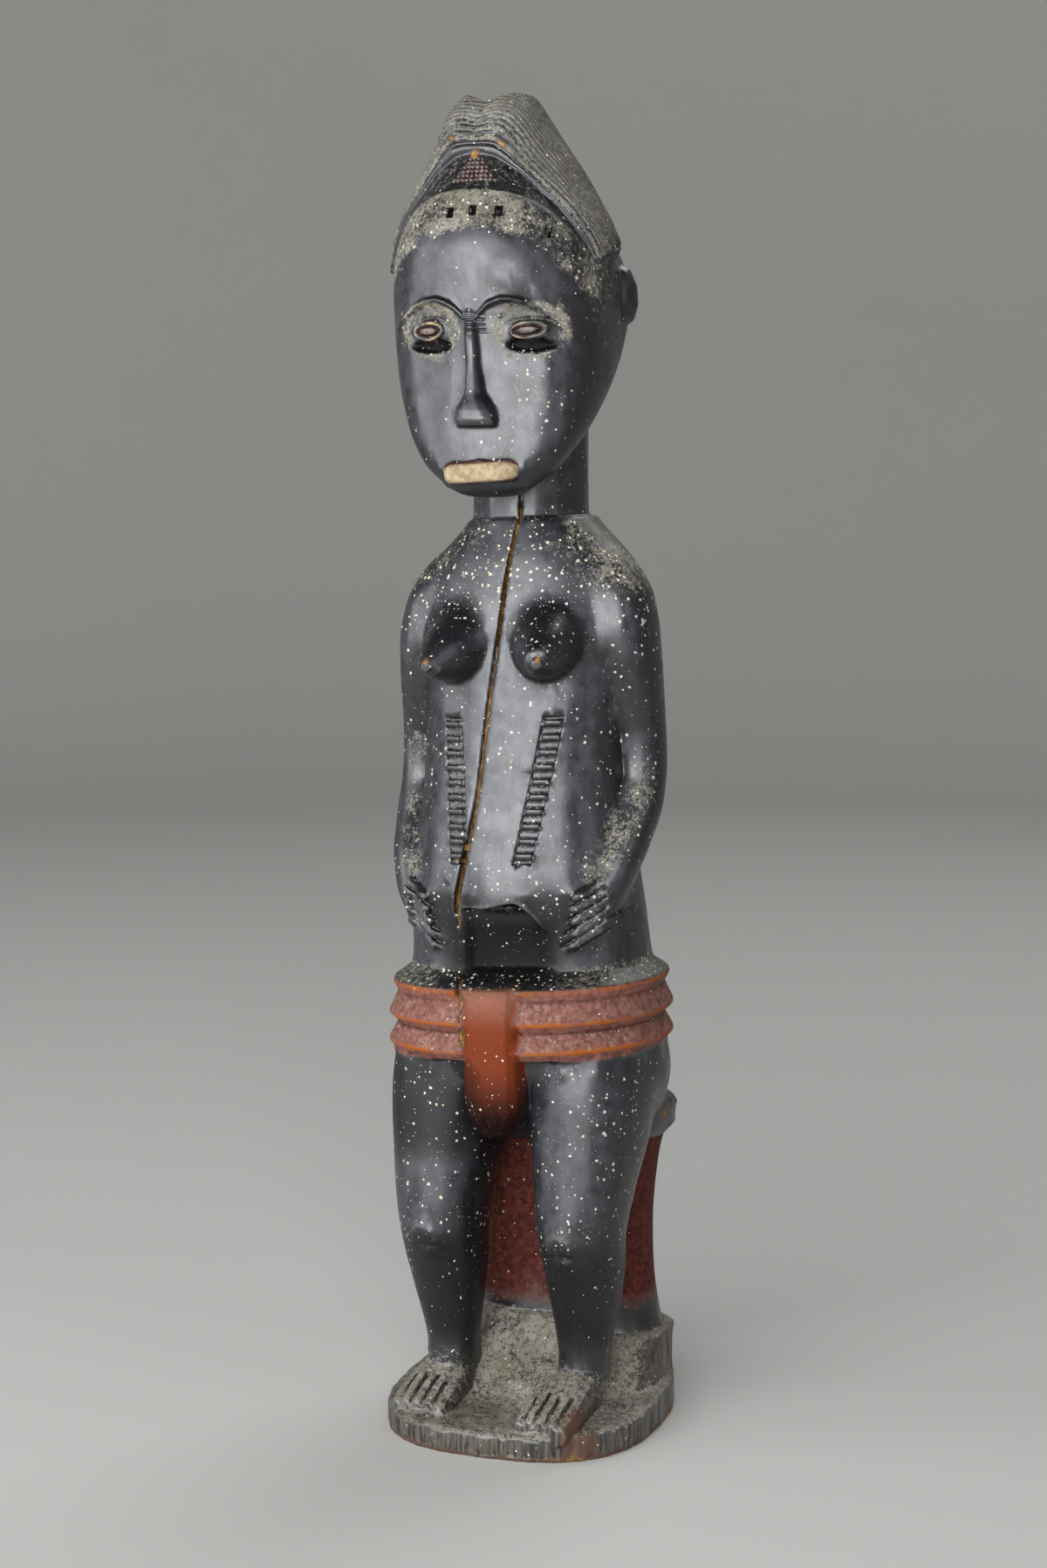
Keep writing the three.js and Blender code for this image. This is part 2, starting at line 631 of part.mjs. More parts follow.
const lowerBody = [base(), plinth(), stool(), hips(), leg(-1), leg(1), belt(), flap()];
const feet = [foot(-1, RIGHT_FOOT_ADVANCE), foot(1, LEFT_FOOT_ADVANCE)];
const trunk = sheared(form(TRUNK, 13, 20), trunkRise);
const torso = [trunk, navel(), breast(-1), breast(1), scars(SCARS_RIGHT), scars(SCARS_LEFT)];
const arms = [arm(-1), arm(1), hand(-1), hand(1)];
const top = [neck(), head(), hair(), braid(), ear(-1), ear(1)];
const carving = joined([...lowerBody, ...feet, ...torso, ...arms, ...top]).subtract(crack());

const figure = new THREE.Mesh(geometryOf(carving), BLACKENED_WOOD);
figure.name = "carved_figure";

const part = new THREE.Group();
part.add(figure);

export default part;
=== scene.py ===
import math

import bmesh
import bpy
import numpy as np
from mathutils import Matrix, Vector
from mathutils.kdtree import KDTree


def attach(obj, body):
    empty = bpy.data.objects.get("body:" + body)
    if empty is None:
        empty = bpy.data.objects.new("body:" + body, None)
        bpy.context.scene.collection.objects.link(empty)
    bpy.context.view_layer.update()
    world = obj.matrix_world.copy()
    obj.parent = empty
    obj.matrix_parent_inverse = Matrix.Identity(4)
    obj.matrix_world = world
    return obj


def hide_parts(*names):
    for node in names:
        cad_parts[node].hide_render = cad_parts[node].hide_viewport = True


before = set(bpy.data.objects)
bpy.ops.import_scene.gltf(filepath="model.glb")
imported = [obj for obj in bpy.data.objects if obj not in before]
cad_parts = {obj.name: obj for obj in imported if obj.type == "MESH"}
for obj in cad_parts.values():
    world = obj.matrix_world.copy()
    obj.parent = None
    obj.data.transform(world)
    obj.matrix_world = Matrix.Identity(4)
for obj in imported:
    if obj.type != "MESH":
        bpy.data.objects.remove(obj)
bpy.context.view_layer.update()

scene = bpy.context.scene
scene.view_settings.view_transform = "Standard"

# Camera
# The figure is seen from a little to her left and from slightly above her middle, through a long lens,
# so that her upright lines stay almost parallel.
CAMERA_PLACE = Vector((0.36620, -1.01658, 0.36790))
CAMERA_AIM = Vector((-0.00364, -0.00045, 0.24470))
LENS_MM = 66.1
LONG_SIDE_MM = 36.0

lens = bpy.data.cameras.new("camera")
lens.lens = LENS_MM
lens.sensor_width = LONG_SIDE_MM
camera = bpy.data.objects.new("camera", lens)
camera.location = CAMERA_PLACE
camera.rotation_euler = (CAMERA_AIM - CAMERA_PLACE).to_track_quat("-Z", "Y").to_euler()
scene.collection.objects.link(camera)
scene.camera = camera


# Floor
# A plain pale studio floor that sweeps up into a round wall, so that no edge shows behind the figure.
FLOOR_RADIUS = 2.0
SWEEP_RADIUS = 1.1
WALL_TOP = 3.4
FLOOR_HEX = "c4c2be"


def linear(hex_colour):
    """An sRGB hex colour as the linear values that a shader takes."""
    shares = [int(hex_colour[i : i + 2], 16) / 255 for i in (0, 2, 4)]
    return [s / 12.92 if s <= 0.04045 else ((s + 0.055) / 1.055) ** 2.4 for s in shares] + [1.0]


profile = [Vector((0, 0, 0)), Vector((FLOOR_RADIUS, 0, 0))]
for step in range(1, 9):
    turn = math.radians(90 * step / 8)
    out, rise = math.sin(turn), 1 - math.cos(turn)
    profile.append(Vector((FLOOR_RADIUS + SWEEP_RADIUS * out, 0, SWEEP_RADIUS * rise)))
profile.append(Vector((FLOOR_RADIUS + SWEEP_RADIUS, 0, WALL_TOP)))
sweep = bmesh.new()
corners = [sweep.verts.new(point) for point in profile]
line = [sweep.edges.new(pair) for pair in zip(corners, corners[1:])]
bmesh.ops.spin(
    sweep, geom=corners + line, cent=(0, 0, 0), axis=(0, 0, 1), dvec=(0, 0, 0),
    angle=2 * math.pi, steps=72, use_merge=True,
)
bmesh.ops.remove_doubles(sweep, verts=sweep.verts, dist=1e-5)
bmesh.ops.recalc_face_normals(sweep, faces=sweep.faces)
floor_mesh = bpy.data.meshes.new("studio_floor")
sweep.to_mesh(floor_mesh)
sweep.free()
floor_mesh.shade_smooth()
floor = bpy.data.objects.new("studio_floor", floor_mesh)
scene.collection.objects.link(floor)

# Matt paper: no gloss, one even pale grey.
paper = bpy.data.materials.new("matt_paper")
paper.use_nodes = True
paper_shader = paper.node_tree.nodes["Principled BSDF"]
paper_shader.inputs["Base Color"].default_value = linear(FLOOR_HEX)
paper_shader.inputs["Roughness"].default_value = 0.95
paper_shader.inputs["Specular IOR Level"].default_value = 0.1
floor_mesh.materials.append(paper)

# Light
# A wide soft box in front, one on her right, a weak one on her left and one from behind and above.
# Each row: name, azimuth and elevation in degrees, distance, width, height, watts.
SOFT_BOXES = [
    ("key", -3, 13, 1.7, 2.3, 1.0, 59),
    ("side", -62, 10, 1.8, 0.9, 1.2, 12),
    ("fill", 66, 22, 1.9, 0.3, 1.4, 2),
    ("rim", 165, 52, 1.9, 1.0, 1.0, 11),
]
SKY_STRENGTH = 0.09
LIGHT_COLOUR = (0.95, 0.975, 1.0)

for name, azimuth, elevation, distance, width, height, watts in SOFT_BOXES:
    a, e = math.radians(azimuth), math.radians(elevation)
    towards = Vector((math.sin(a) * math.cos(e), -math.cos(a) * math.cos(e), math.sin(e)))
    box_light = bpy.data.lights.new(name, "AREA")
    box_light.shape = "RECTANGLE"
    box_light.size = width
    box_light.size_y = height
    box_light.energy = watts
    box_light.color = LIGHT_COLOUR
    box = bpy.data.objects.new(name, box_light)
    box.location = towards * distance + Vector((0, 0, 0.25))
    box.rotation_euler = (-towards).to_track_quat("-Z", "Y").to_euler()
    box.visible_camera = False
    scene.collection.objects.link(box)

sky = bpy.data.worlds.new("sky")
sky.use_nodes = True
sky.node_tree.nodes["Background"].inputs["Color"].default_value = linear("dfe3ea")
sky.node_tree.nodes["Background"].inputs["Strength"].default_value = SKY_STRENGTH
scene.world = sky


# The roughed-out block
# Figure, stool and base are one block of wood. The solid is taken over whole, cut into a fine even skin,
# and its flat cuts are rounded off with a scraper; the lines that the knife left sharp are spared.
MM = 0.001
SKIN = 0.6
CARVED_ANGLE = 0.62
SPARED = 0.9
ROUNDED = 4.0
SCRAPES = 260
RUBS = 3
TRUNK_RISE = 0.044
HEAD_LEAN = 0.075
HEAD_LEAN_FROM = 321
HOOP_TILT = math.radians(18)
HOOP_CENTRE = np.array([0, -18, 437.5])
HOOP_NORMAL = np.array([0, math.cos(HOOP_TILT), math.sin(HOOP_TILT)])
HOOP_UP = np.array([0, -math.sin(HOOP_TILT), math.cos(HOOP_TILT)])
# The drying crack down her front: height, place across and the skin's y.
CRACK = np.array([
    [119, -3, -46], [128, -7, -50], [160, -11, -51], [178, -13.4, -41],
    [199, -16.5, -38.5], [216, -13.5, -41], [236, -9.2, -39], [258, -7.4, -36],
    [286, -4.2, -34], [309, -1.1, -32], [328, 0.4, -28], [349, 3, -22],
])
SCAR_ROWS = [(-19.8, -14.8), (19, 10.8)]
SCAR_HEIGHTS = (270.5, 222.5)
SCAR_COUNT = 10
# Each eye in the upright head: place across, height, half its width and half its height.
EYES = [(-17.0, 412.4, 5.6, 3.4), (20.8, 412.4, 6.6, 3.0)]


def ramp(value, low, high):
    """0 below low, 1 above high, and a soft step between; low may be above high."""
    share = np.clip((value - low) / (high - low), 0, 1)
    return share * share * (3 - 2 * share)


def upright_head(points):
    """Points of the leaning head, in millimetres, as they would be if it stood upright."""
    upright = points.copy()
    upright[:, 0] += HEAD_LEAN * (points[:, 2] - HEAD_LEAN_FROM)
    return upright


def level_trunk(points):
    """Points of the trunk, in millimetres, with its level lines laid level."""
    level = points.copy()
    level[:, 2] -= TRUNK_RISE * points[:, 0]
    return level


def hoop_place(points):
    """How far back through the hair's hoops each point is, and how high in its own hoop."""
    from_centre = upright_head(points) - HOOP_CENTRE
    return from_centre @ HOOP_NORMAL, from_centre @ HOOP_UP


def beside_crack(points):
    """How far each point lies to the side of the crack, and how far behind the skin it opens."""
    x, y, z = level_trunk(points).T
    across = np.abs(x - np.interp(z, CRACK[:, 0], CRACK[:, 1]))
    behind = y - np.interp(z, CRACK[:, 0], CRACK[:, 2])
    off_ends = np.maximum(CRACK[0, 0] - z, z - CRACK[-1, 0])
    return np.where((off_ends > 0) | (behind > 12), 99, across), behind


def scar_place(points, row):
    """How far each point is across a row of scars from its middle, and how many bars down it is."""
    x, y, z = level_trunk(points).T
    down = (SCAR_HEIGHTS[0] - z) / (SCAR_HEIGHTS[0] - SCAR_HEIGHTS[1])
    middle = row[0] + (row[1] - row[0]) * down
    return np.where(y < -15, x - middle, 99), down * (SCAR_COUNT - 1)


def places(mesh):
    values = np.empty(len(mesh.vertices) * 3, np.float32)
    mesh.vertices.foreach_get("co", values)
    return values.reshape(-1, 3).astype(float) / MM


def facings(mesh):
    values = np.empty(len(mesh.vertices) * 3, np.float32)
    mesh.vertex_normals.foreach_get("vector", values)
    return values.reshape(-1, 3).astype(float)


def with_modifiers(piece):
    """The piece's mesh as its modifiers leave it, which takes the place of its mesh."""
    made = bpy.data.meshes.new_from_object(piece.evaluated_get(bpy.context.evaluated_depsgraph_get()))
    piece.modifiers.clear()
    old = piece.data
    piece.data = made
    bpy.data.meshes.remove(old)
    return made


blank = bmesh.new()
blank.from_mesh(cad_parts["carved_figure"].data)
bmesh.ops.remove_doubles(blank, verts=blank.verts, dist=1e-6)

knife_lines = []
outward = []
for edge in blank.edges:
    if len(edge.link_faces) == 2 and edge.calc_face_angle() > CARVED_ANGLE:
        start, end = [np.array(v.co) / MM for v in edge.verts]
        count = int(np.linalg.norm(end - start) / SKIN) + 2
        knife_lines.append(start + (end - start) * np.linspace(0, 1, count)[:, None])
        outward.append(np.full(count, edge.is_convex))
knife_lines = np.concatenate(knife_lines)
outward = np.concatenate(outward)

# The steps between the hair's hoops are rounded all the same, and so are the outward corners of limbs, the
# shoulders, the upper sides of the breasts, the foot of the flap and the chin.
back, high = hoop_place(knife_lines)
x, y, z = level_trunk(knife_lines).T
rounded = (back > 2.5) & (high > 3)
rounded |= outward & (z > 206) & (z < 342) & (np.abs(x) > 29)
rounded |= outward & (z > 30) & (z < 143) & ((np.abs(x) > 12.5) | (y > -25)) & (y < 30)
rounded |= outward & (z > 40) & (z < 104)
at_neck = (np.hypot(x, y) < 24.5) & (z > 338)
rounded |= (z > 294) & (z < 350) & (np.abs(x) > 22) & ~at_neck
rounded |= (z > 299) & (z < 335) & (y < -12) & ~at_neck
rounded |= outward & (z < 129) & (np.abs(x) < 13) & (y < -28) & (z > 110)
rounded |= outward & (z > 345) & (z < 357) & (y < -25)
knife_lines = knife_lines[~rounded]
sharp = KDTree(len(knife_lines))
for index, point in enumerate(knife_lines):
    sharp.insert(point, index)
sharp.balance()

figure_mesh = bpy.data.meshes.new("carved_figure_skin")
blank.to_mesh(figure_mesh)
blank.free()
figure = bpy.data.objects.new("carved_wood_figure", figure_mesh)
scene.collection.objects.link(figure)
cut_fine = figure.modifiers.new("cut_fine", "REMESH")
cut_fine.mode = "VOXEL"
cut_fine.voxel_size = SKIN * MM
skin = with_modifiers(figure)

points = places(skin)
softness = ramp(np.array([sharp.find(point)[2] for point in points]), SPARED, ROUNDED)
# Small carving keeps its edges: the crack, the scars, toes, fingers, eyes, nose, mouth and ears.
x, y, z = level_trunk(points).T
softness *= ramp(beside_crack(points)[0], 2.5, 4)
for row in SCAR_ROWS:
    across, bars_down = scar_place(points, row)
    softness *= np.where((bars_down > -0.7) & (bars_down < 9.7), ramp(np.abs(across), 4, 6), 1)
softness *= np.where((points[:, 2] < 30) & (points[:, 1] < -18), ramp(points[:, 2], 28, 30), 1)
softness *= np.where((z > 184) & (z < 209) & (np.abs(x) > 23) & (np.abs(x) < 38.5) & (y < -12), 0.05, 1)
x, y, z = upright_head(points).T
softness *= np.where((np.abs(x) < 10) & (z > 376) & (z < 420) & (y < -43), 0, 1)
softness *= np.where((np.abs(x) < 16.5) & (z > 356.5) & (z < 367.5) & (y < -40), 0, 1)
softness *= np.where((np.abs(np.abs(x - 1.3) - 18.8) < 10) & (np.abs(z - 412.5) < 6) & (y < -35), 0, 1)
softness *= np.where((np.abs(x) < 25) & (np.abs(y) < 24) & (z > 346) & (z < 384), 0.12, 1)
softness *= np.where((np.abs(x) > 38) & (np.abs(y - 10) < 10) & (np.abs(z - 427) < 13), 0, 1)
grades = np.round(softness * 16).astype(int)
scraped = figure.vertex_groups.new(name="scraped")
for grade in range(1, 17):
    scraped.add(np.flatnonzero(grades == grade).tolist(), grade / 16, "REPLACE")
scrape = figure.modifiers.new("scrape", "SMOOTH")
scrape.factor = 1.0
scrape.iterations = SCRAPES
scrape.vertex_group = "scraped"
rub = figure.modifiers.new("rub", "SMOOTH")
rub.factor = 1.0
rub.iterations = RUBS
skin = with_modifiers(figure)
figure.vertex_groups.clear()

# Where the knife works finest the skin is cut again: the hair, the brow and the face, and the scars.
points = places(skin)
back, high = hoop_place(points)
x, y, z = upright_head(points).T
fine = (back > -1.5) & (high > -6)
fine |= (z > 444) & (back < 1)
fine |= (np.abs(np.abs(x - 1.3) - 18.8) < 13) & (np.abs(z - 411) < 11) & (y < -30)
fine |= (np.abs(x) < 34) & (np.abs(z - 421) < 6) & (y < -30)
fine |= (np.abs(x) < 7) & (np.abs(z - 414) < 6) & (y < -38)
fine |= (np.abs(x) < 17) & (np.abs(z - 362) < 6) & (y < -40)
fine |= (np.abs(points[:, 0] - 3.5) < 2.5) & (np.abs(z - 354) < 11) & (y < -14) & (y > -26)
fine |= (beside_crack(points)[0] < 2.5) & (z > 288)
fine |= (np.abs(np.abs(points[:, 0]) - 33) < 9) & (np.abs(z - 200) < 15) & (y < -14)
for row in SCAR_ROWS:
    across, bars_down = scar_place(points, row)
    fine |= (np.abs(across) < 5) & (bars_down > -0.7) & (bars_down < 9.7)
worked = bmesh.new()
worked.from_mesh(skin)
worked.verts.ensure_lookup_table()
edges = [edge for edge in worked.edges if fine[edge.verts[0].index] and fine[edge.verts[1].index]]
bmesh.ops.subdivide_edges(worked, edges=edges, cuts=1, use_grid_fill=True)
worked.to_mesh(skin)
worked.free()
skin.update()
points = places(skin)
facing = facings(skin)
lift = np.zeros(len(points))

lattice = np.random.default_rng(11).random((32, 32, 32))


def unevenness(points, size):
    """Smooth bumps between -1 and 1, about size millimetres apart; size may differ by axis."""
    scaled = points / size
    cell = np.floor(scaled).astype(int)
    share = scaled - cell
    share = share * share * (3 - 2 * share)
    total = np.zeros(len(points))
    for corner in np.ndindex(2, 2, 2):
        weight = np.prod(np.where(corner, share, 1 - share), axis=1)
        total += weight * lattice[tuple(((cell + corner) % 32).T)]
    return 2 * total - 1


# Hair
# Rows of fine ridges were cut over the whole crown, side by side from the front edge to the nape. Two lobes
# run back over the top. A smooth border edges them in front, and a notched braid below, from ear to ear.
HAIR_THICKNESS = 2.2
HAIR_DEPTH = 60
LOBE_RISE, LOBE_ANGLE, LOBE_SPREAD = 4.6, 0.2, 0.17
RIDGE_PITCH = 2.5
RIDGE_DEPTH = 1.4
FIRST_GROOVE = 0.9
FRONT_THINNING = 0.85
BRAID_DROP = 2.0
BRAID_PITCH = 2.6
# The skull under it: height, half width, front y, back y and squareness of each level section.
SKULL = np.array([
    [400, 40, -46, 25, 2.6], [414, 41.5, -46.5, 38, 2.5], [428, 42, -48, 44, 2.4],
    [442, 40, -48.5, 45.5, 2.3], [453, 36, -45.5, 44, 2.2], [462, 31.5, -39.5, 41.5, 2.1],
    [472, 26.5, -34, 37.5, 2], [484, 19.5, -26, 30, 2], [493.5, 11.5, -13, 20, 2],
])


def at_height(stations, column, height):
    """A column's value between stations, as a cubic that leaves each with its neighbours' slope."""
    heights, values = stations[:, 0], stations[:, column]
    low = np.clip(np.searchsorted(heights, height) - 1, 0, len(heights) - 2)
    stops = np.arange(len(heights))
    before, after = np.maximum(stops - 1, 0), np.minimum(stops + 1, len(heights) - 1)
    slopes = (values[after] - values[before]) / (heights[after] - heights[before])
    span = heights[low + 1] - heights[low]
    t = (height - heights[low]) / span
    eased = t * t * (3 - 2 * t)
    leaving = t * (1 - t) ** 2 * span * slopes[low]
    arriving = t * t * (t - 1) * span * slopes[low + 1]
    return values[low] + (values[low + 1] - values[low]) * eased + leaving + arriving


def reach(centres, directions):
    """How far the skull's skin is from points inside it, along directions."""
    near, far = np.zeros(len(centres)), np.full(len(centres), 90.0)
    for _ in range(14):
        middle = (near + far) / 2
        x, y, z = (centres + directions * middle[:, None]).T
        low = np.clip(z, SKULL[0, 0], SKULL[-1, 0])
        half, front, rear, squareness = [at_height(SKULL, column, low) for column in (1, 2, 3, 4)]
        across = np.abs(x / half) ** squareness
        along = np.abs((y - (front + rear) / 2) / ((rear - front) / 2)) ** squareness
        inside = (across + along < 1) & (z < SKULL[-1, 0])
        near, far = np.where(inside, middle, near), np.where(inside, far, middle)
    return near


back, high = hoop_place(points)
upright = upright_head(points)
outer = np.flatnonzero((back > -0.8) & (back < HAIR_DEPTH - 4) & (high > 2))
centres = HOOP_CENTRE + HOOP_NORMAL * back[outer][:, None]
spokes = upright[outer] - centres
lengths = np.linalg.norm(spokes, axis=1)
spokes /= lengths[:, None]
from_top = np.arctan2(spokes[:, 0], spokes @ HOOP_UP)
crest = np.exp(-(((np.abs(from_top) - LOBE_ANGLE) / LOBE_SPREAD) ** 2))
share = np.maximum(back[outer], 0) / HAIR_DEPTH
lobes = LOBE_RISE * crest * np.sin(np.pi * (0.12 + 0.88 * share)) ** 0.5
bare = reach(centres, spokes)
smooth_hair = bare + HAIR_THICKNESS + lobes
on_top = ramp(back[outer], 0, 0.6) * ramp(lengths, bare + 0.4, bare + 1.2)
on_top *= ramp(back[outer], HAIR_DEPTH - 4, HAIR_DEPTH - 14) * ramp(high[outer], 2, 5)
trimmed = lengths + (smooth_hair - lengths) * on_top
towards_front = 1 - np.sqrt(1 - (1 - np.clip(back[outer] / 6, 0, 1)) ** 2)
trimmed -= FRONT_THINNING * towards_front * np.maximum(trimmed - bare, 0)
points[outer] += spokes * (trimmed - lengths)[:, None]

ridges_back = (back - FIRST_GROOVE) / RIDGE_PITCH
from_groove = np.abs(ridges_back - np.round(ridges_back)) * RIDGE_PITCH
hair = ramp(back, 0.3, 0.6) * ramp(high, 0.5, 2) * (0.9 + 0.2 * unevenness(points, 9))
lift -= RIDGE_DEPTH * hair * ramp(from_groove, 0.75, 0.15)
round_head = np.arctan2(back, np.abs(upright[:, 0])) * 42
braid = ramp(np.abs(high + BRAID_DROP), 3.2, 2.2) * ramp(back, -1, 1)
lift -= 0.7 * braid * np.abs(np.cos(np.pi * (round_head + 0.9 * high) / BRAID_PITCH)) ** 6

# Forehead panel and hairline
# Above the forehead a dusty ledge follows the hairline, with three small square notches. The smooth panel
# over it is cut back a little and carries a triangle of tiny chequered pits.
NOTCHES = [(-6.2, 454.4, 1.1), (2.5, 455, 1.1), (11.8, 454.6, 1.1), (27.5, 447, 0.8)]
NOTCH_HALF_HEIGHT = 1.7
CHECK_PITCH, CHECK_ROW = 1.75, 1.6
CHECK_FOOT, CHECK_TOP, CHECK_MIDDLE = 465.4, 477.8, 0.9
CHECK_HALF = 8.6


def hairline(x):
    """The height of the ledge's upper edge at a distance from the middle of the head."""
    return 463 - 0.0065 * x**2 - 6e-6 * x**4


def in_triangle(x, y, z):
    """1 inside the chequered triangle on the panel, 0 outside."""
    half = CHECK_HALF * (CHECK_TOP - z) / (CHECK_TOP - CHECK_FOOT)
    inside = ramp(np.abs(x - CHECK_MIDDLE), half + 0.3, half - 0.3)
    return np.where(y < -15, inside * ramp(z, CHECK_FOOT - 0.3, CHECK_FOOT + 0.3), 0)


x, y, z = upright.T
in_front = ramp(back, 0.1, -0.3) * (y < 0)
lift -= 0.5 * in_front * ramp(z, hairline(x) - 0.7, hairline(x) + 0.7)
for across, height, half in NOTCHES:
    inside = ramp(np.abs(x - across), half + 0.3, half - 0.2)
    inside *= ramp(np.abs(z - height), NOTCH_HALF_HEIGHT + 0.3, NOTCH_HALF_HEIGHT - 0.2)
    lift -= 2.4 * inside * (y < -20)
bars = np.cos(2 * np.pi * (x - CHECK_MIDDLE) / CHECK_PITCH)
rows = np.cos(2 * np.pi * (z - CHECK_FOOT) / CHECK_ROW)
lift -= 0.6 * in_triangle(x, y, z) * ramp(np.maximum(bars, rows), 0.5, 0.0)

# Face
# A flat shield of a face: bean eyes with a slit, each over a cut that shades it, under thin arched brows that
# meet over small cuts across the root of the nose, and a mouth that is one raised bar with rounded ends.
NOSE_ROOT, NOSE_ROOT_HEIGHT, NOSE_CUT_PITCH = 1.5, 414.4, 1.7
MOUTH_HEIGHT, MOUTH_SLANT = 362, 0.06
MOUTH_HALF_WIDTH, MOUTH_HALF_HEIGHT = 15, 3.7


def eye_place(x, z, eye):
    """Where a point is in an eye, in its slit and in its socket: 0 in the middle and 1 on the rim."""
    across, up = (x - eye[0]) / eye[2], (z - eye[1] - 0.08 * (x - eye[0])) / eye[3]
    socket = np.hypot((x - eye[0]) / 11.5, (z - eye[1] - 0.6) / 8.8)
    return np.hypot(across, up), np.hypot(across / 0.78, up / 0.56), socket


def mouth_place(x, z):
    """Where a point is in the mouth: 0 at its middle and 1 on its edge."""
    up = (z - MOUTH_HEIGHT - MOUTH_SLANT * x) / MOUTH_HALF_HEIGHT
    return (np.abs(x / MOUTH_HALF_WIDTH) ** 5 + np.abs(up) ** 3) ** (1 / 3)


in_mouth = mouth_place(x, z)
beside_mouth = (y < -48.8) & (np.abs(x) < 17) & (z < 368)
lift -= 1.6 * beside_mouth * ramp(in_mouth, 0.88, 1.1) * ramp(in_mouth, 1.7, 1.5)
for eye in EYES:
    near = (y < -30) & (np.abs(x - eye[0]) < 15) & (np.abs(z - eye[1]) < 13)
    rim, slit, socket = eye_place(x, z, eye)
    lids = ramp(rim, 1.12, 0.9)
    lift -= near * 0.8 * ramp(socket, 1.08, 0.86) * ramp(rim, 0.95, 1.15)
    seam = ramp(np.abs(slit - 0.95), 0.3, 0.05)
    lift += near * (lids - seam * lids + 0.15 * ramp(slit, 0.7, 0.3))
    lift -= near * 0.5 * ramp(np.abs(rim - 1.42), 0.2, 0.04) * ramp(z - eye[1], 1, 3)
    under = np.hypot((x - eye[0]) / 8.4, (z - eye[1] + 5.2) / 2.6)
    lift -= near * 1.9 * ramp(under, 1.15, 0.6) * ramp(rim, 1.0, 1.16)
share = np.clip((np.abs(x) - 2) / 31, 0, 1)
brow = 416.5 + 8 * np.sin(np.pi * share**0.8) - 2.5 * share
browed = (y < -28) * ramp(np.abs(x), 1, 3) * ramp(np.abs(x), 34, 32)
lift += 0.35 * browed * np.exp(-(((z - brow) / 0.8) ** 2))
lift -= 0.25 * browed * np.exp(-(((z - brow + 1.7) / 0.7) ** 2))
cuts = (z - NOSE_ROOT_HEIGHT) / NOSE_CUT_PITCH
nose_root = (y < -40) * ramp(np.abs(x - NOSE_ROOT), 4.5, 3.5) * ramp(np.abs(z - NOSE_ROOT_HEIGHT), 3.6, 3)
lift -= 0.5 * nose_root * ramp(np.abs(cuts - np.round(cuts)) * NOSE_CUT_PITCH, 0.5, 0.15)
curls = ramp(np.abs(x), 31, 34) * ramp(np.abs(z - 434), 15, 10) * (high < -3)
curls *= ramp(y, -27, -23) * ramp(y, 3, -1)
lift -= 0.8 * curls * ramp(np.abs(unevenness(points, 4.5)), 0.3, 0.05)

# Trunk
# Ladders of scars are sunk between their bars, the belly is cut back under the navel, and the wood has split
# down her front as it dried.
BAR_HALF_WIDTH, BAR_HALF_HEIGHT = 3.4, 1.25
for row in SCAR_ROWS:
    across, bars_down = scar_place(points, row)
    spacing = (SCAR_HEIGHTS[0] - SCAR_HEIGHTS[1]) / (SCAR_COUNT - 1)
    from_bar = np.abs(bars_down - np.round(bars_down)) * spacing
    ladder = ramp(np.abs(across), BAR_HALF_WIDTH + 0.4, BAR_HALF_WIDTH - 0.1)
    ladder *= ramp(bars_down, -0.5, -0.4) * ramp(bars_down, 9.6, 9.5)
    pocket = ladder * ramp(from_bar, BAR_HALF_HEIGHT - 0.1, BAR_HALF_HEIGHT + 0.5)
    bar = ramp(np.abs(across), BAR_HALF_WIDTH + 0.5, BAR_HALF_WIDTH + 0.1) - pocket
    bar *= ramp(bars_down, -0.5, -0.4) * ramp(bars_down, 9.6, 9.5)
    lift -= 1.2 * pocket
    points[:, 1] += 0.8 * bar

x, y, z = level_trunk(points).T
overhang = 203 + 2.4 * ramp(x, -8, 8) - 0.9 * ramp(x, 6, 16) * (x - 6)
below_navel = ramp(z, overhang + 0.3, overhang - 1.4) * ramp(z, 178.6, 181)
below_navel *= ramp(x, -15, -10) * ramp(x, 24 - 0.2 * (z - 180), 14 - 0.2 * (z - 180)) * (y < -20)
lift -= 3.6 * below_navel
neck_split = ramp(np.abs(points[:, 0] - 2.7 - 0.04 * (points[:, 2] - 349)), 0.9, 0.3) * (y < -14) * (y > -26)
lift -= 1.4 * neck_split * ramp(points[:, 2], 343, 346) * ramp(points[:, 2], 365, 362)
across, _ = beside_crack(points)
lift -= 1.6 * ramp(across, 0.9, 0.35) * ramp(z, 294, 308) * (y < -14) * (y > -40)

# Hands
# Each hand lies flat on the belly: straight fingers, parted by thin cuts from the knuckles to the tips.
FINGER_CUT_DEPTH = 1.3
KNUCKLES = (37.2, 211.5), (40.2, 196.5)
FINGERTIPS = (29.8, 207), (26.6, 188)


def finger_place(x, z):
    """How many fingers down a hand a point is, and how far it is from knuckle (0) to tip (1)."""
    down = np.full(len(x), 0.5)
    for _ in range(4):
        knuckle = KNUCKLES[0][0] + (KNUCKLES[1][0] - KNUCKLES[0][0]) * down
        tip = FINGERTIPS[0][0] + (FINGERTIPS[1][0] - FINGERTIPS[0][0]) * down
        along = (knuckle - np.abs(x)) / (knuckle - tip)
        first = KNUCKLES[0][1] + (FINGERTIPS[0][1] - KNUCKLES[0][1]) * along
        last = KNUCKLES[1][1] + (FINGERTIPS[1][1] - KNUCKLES[1][1]) * along
        down = np.clip((first - z) / np.maximum(first - last, 5), -0.5, 1.5)
    return down * 4, along


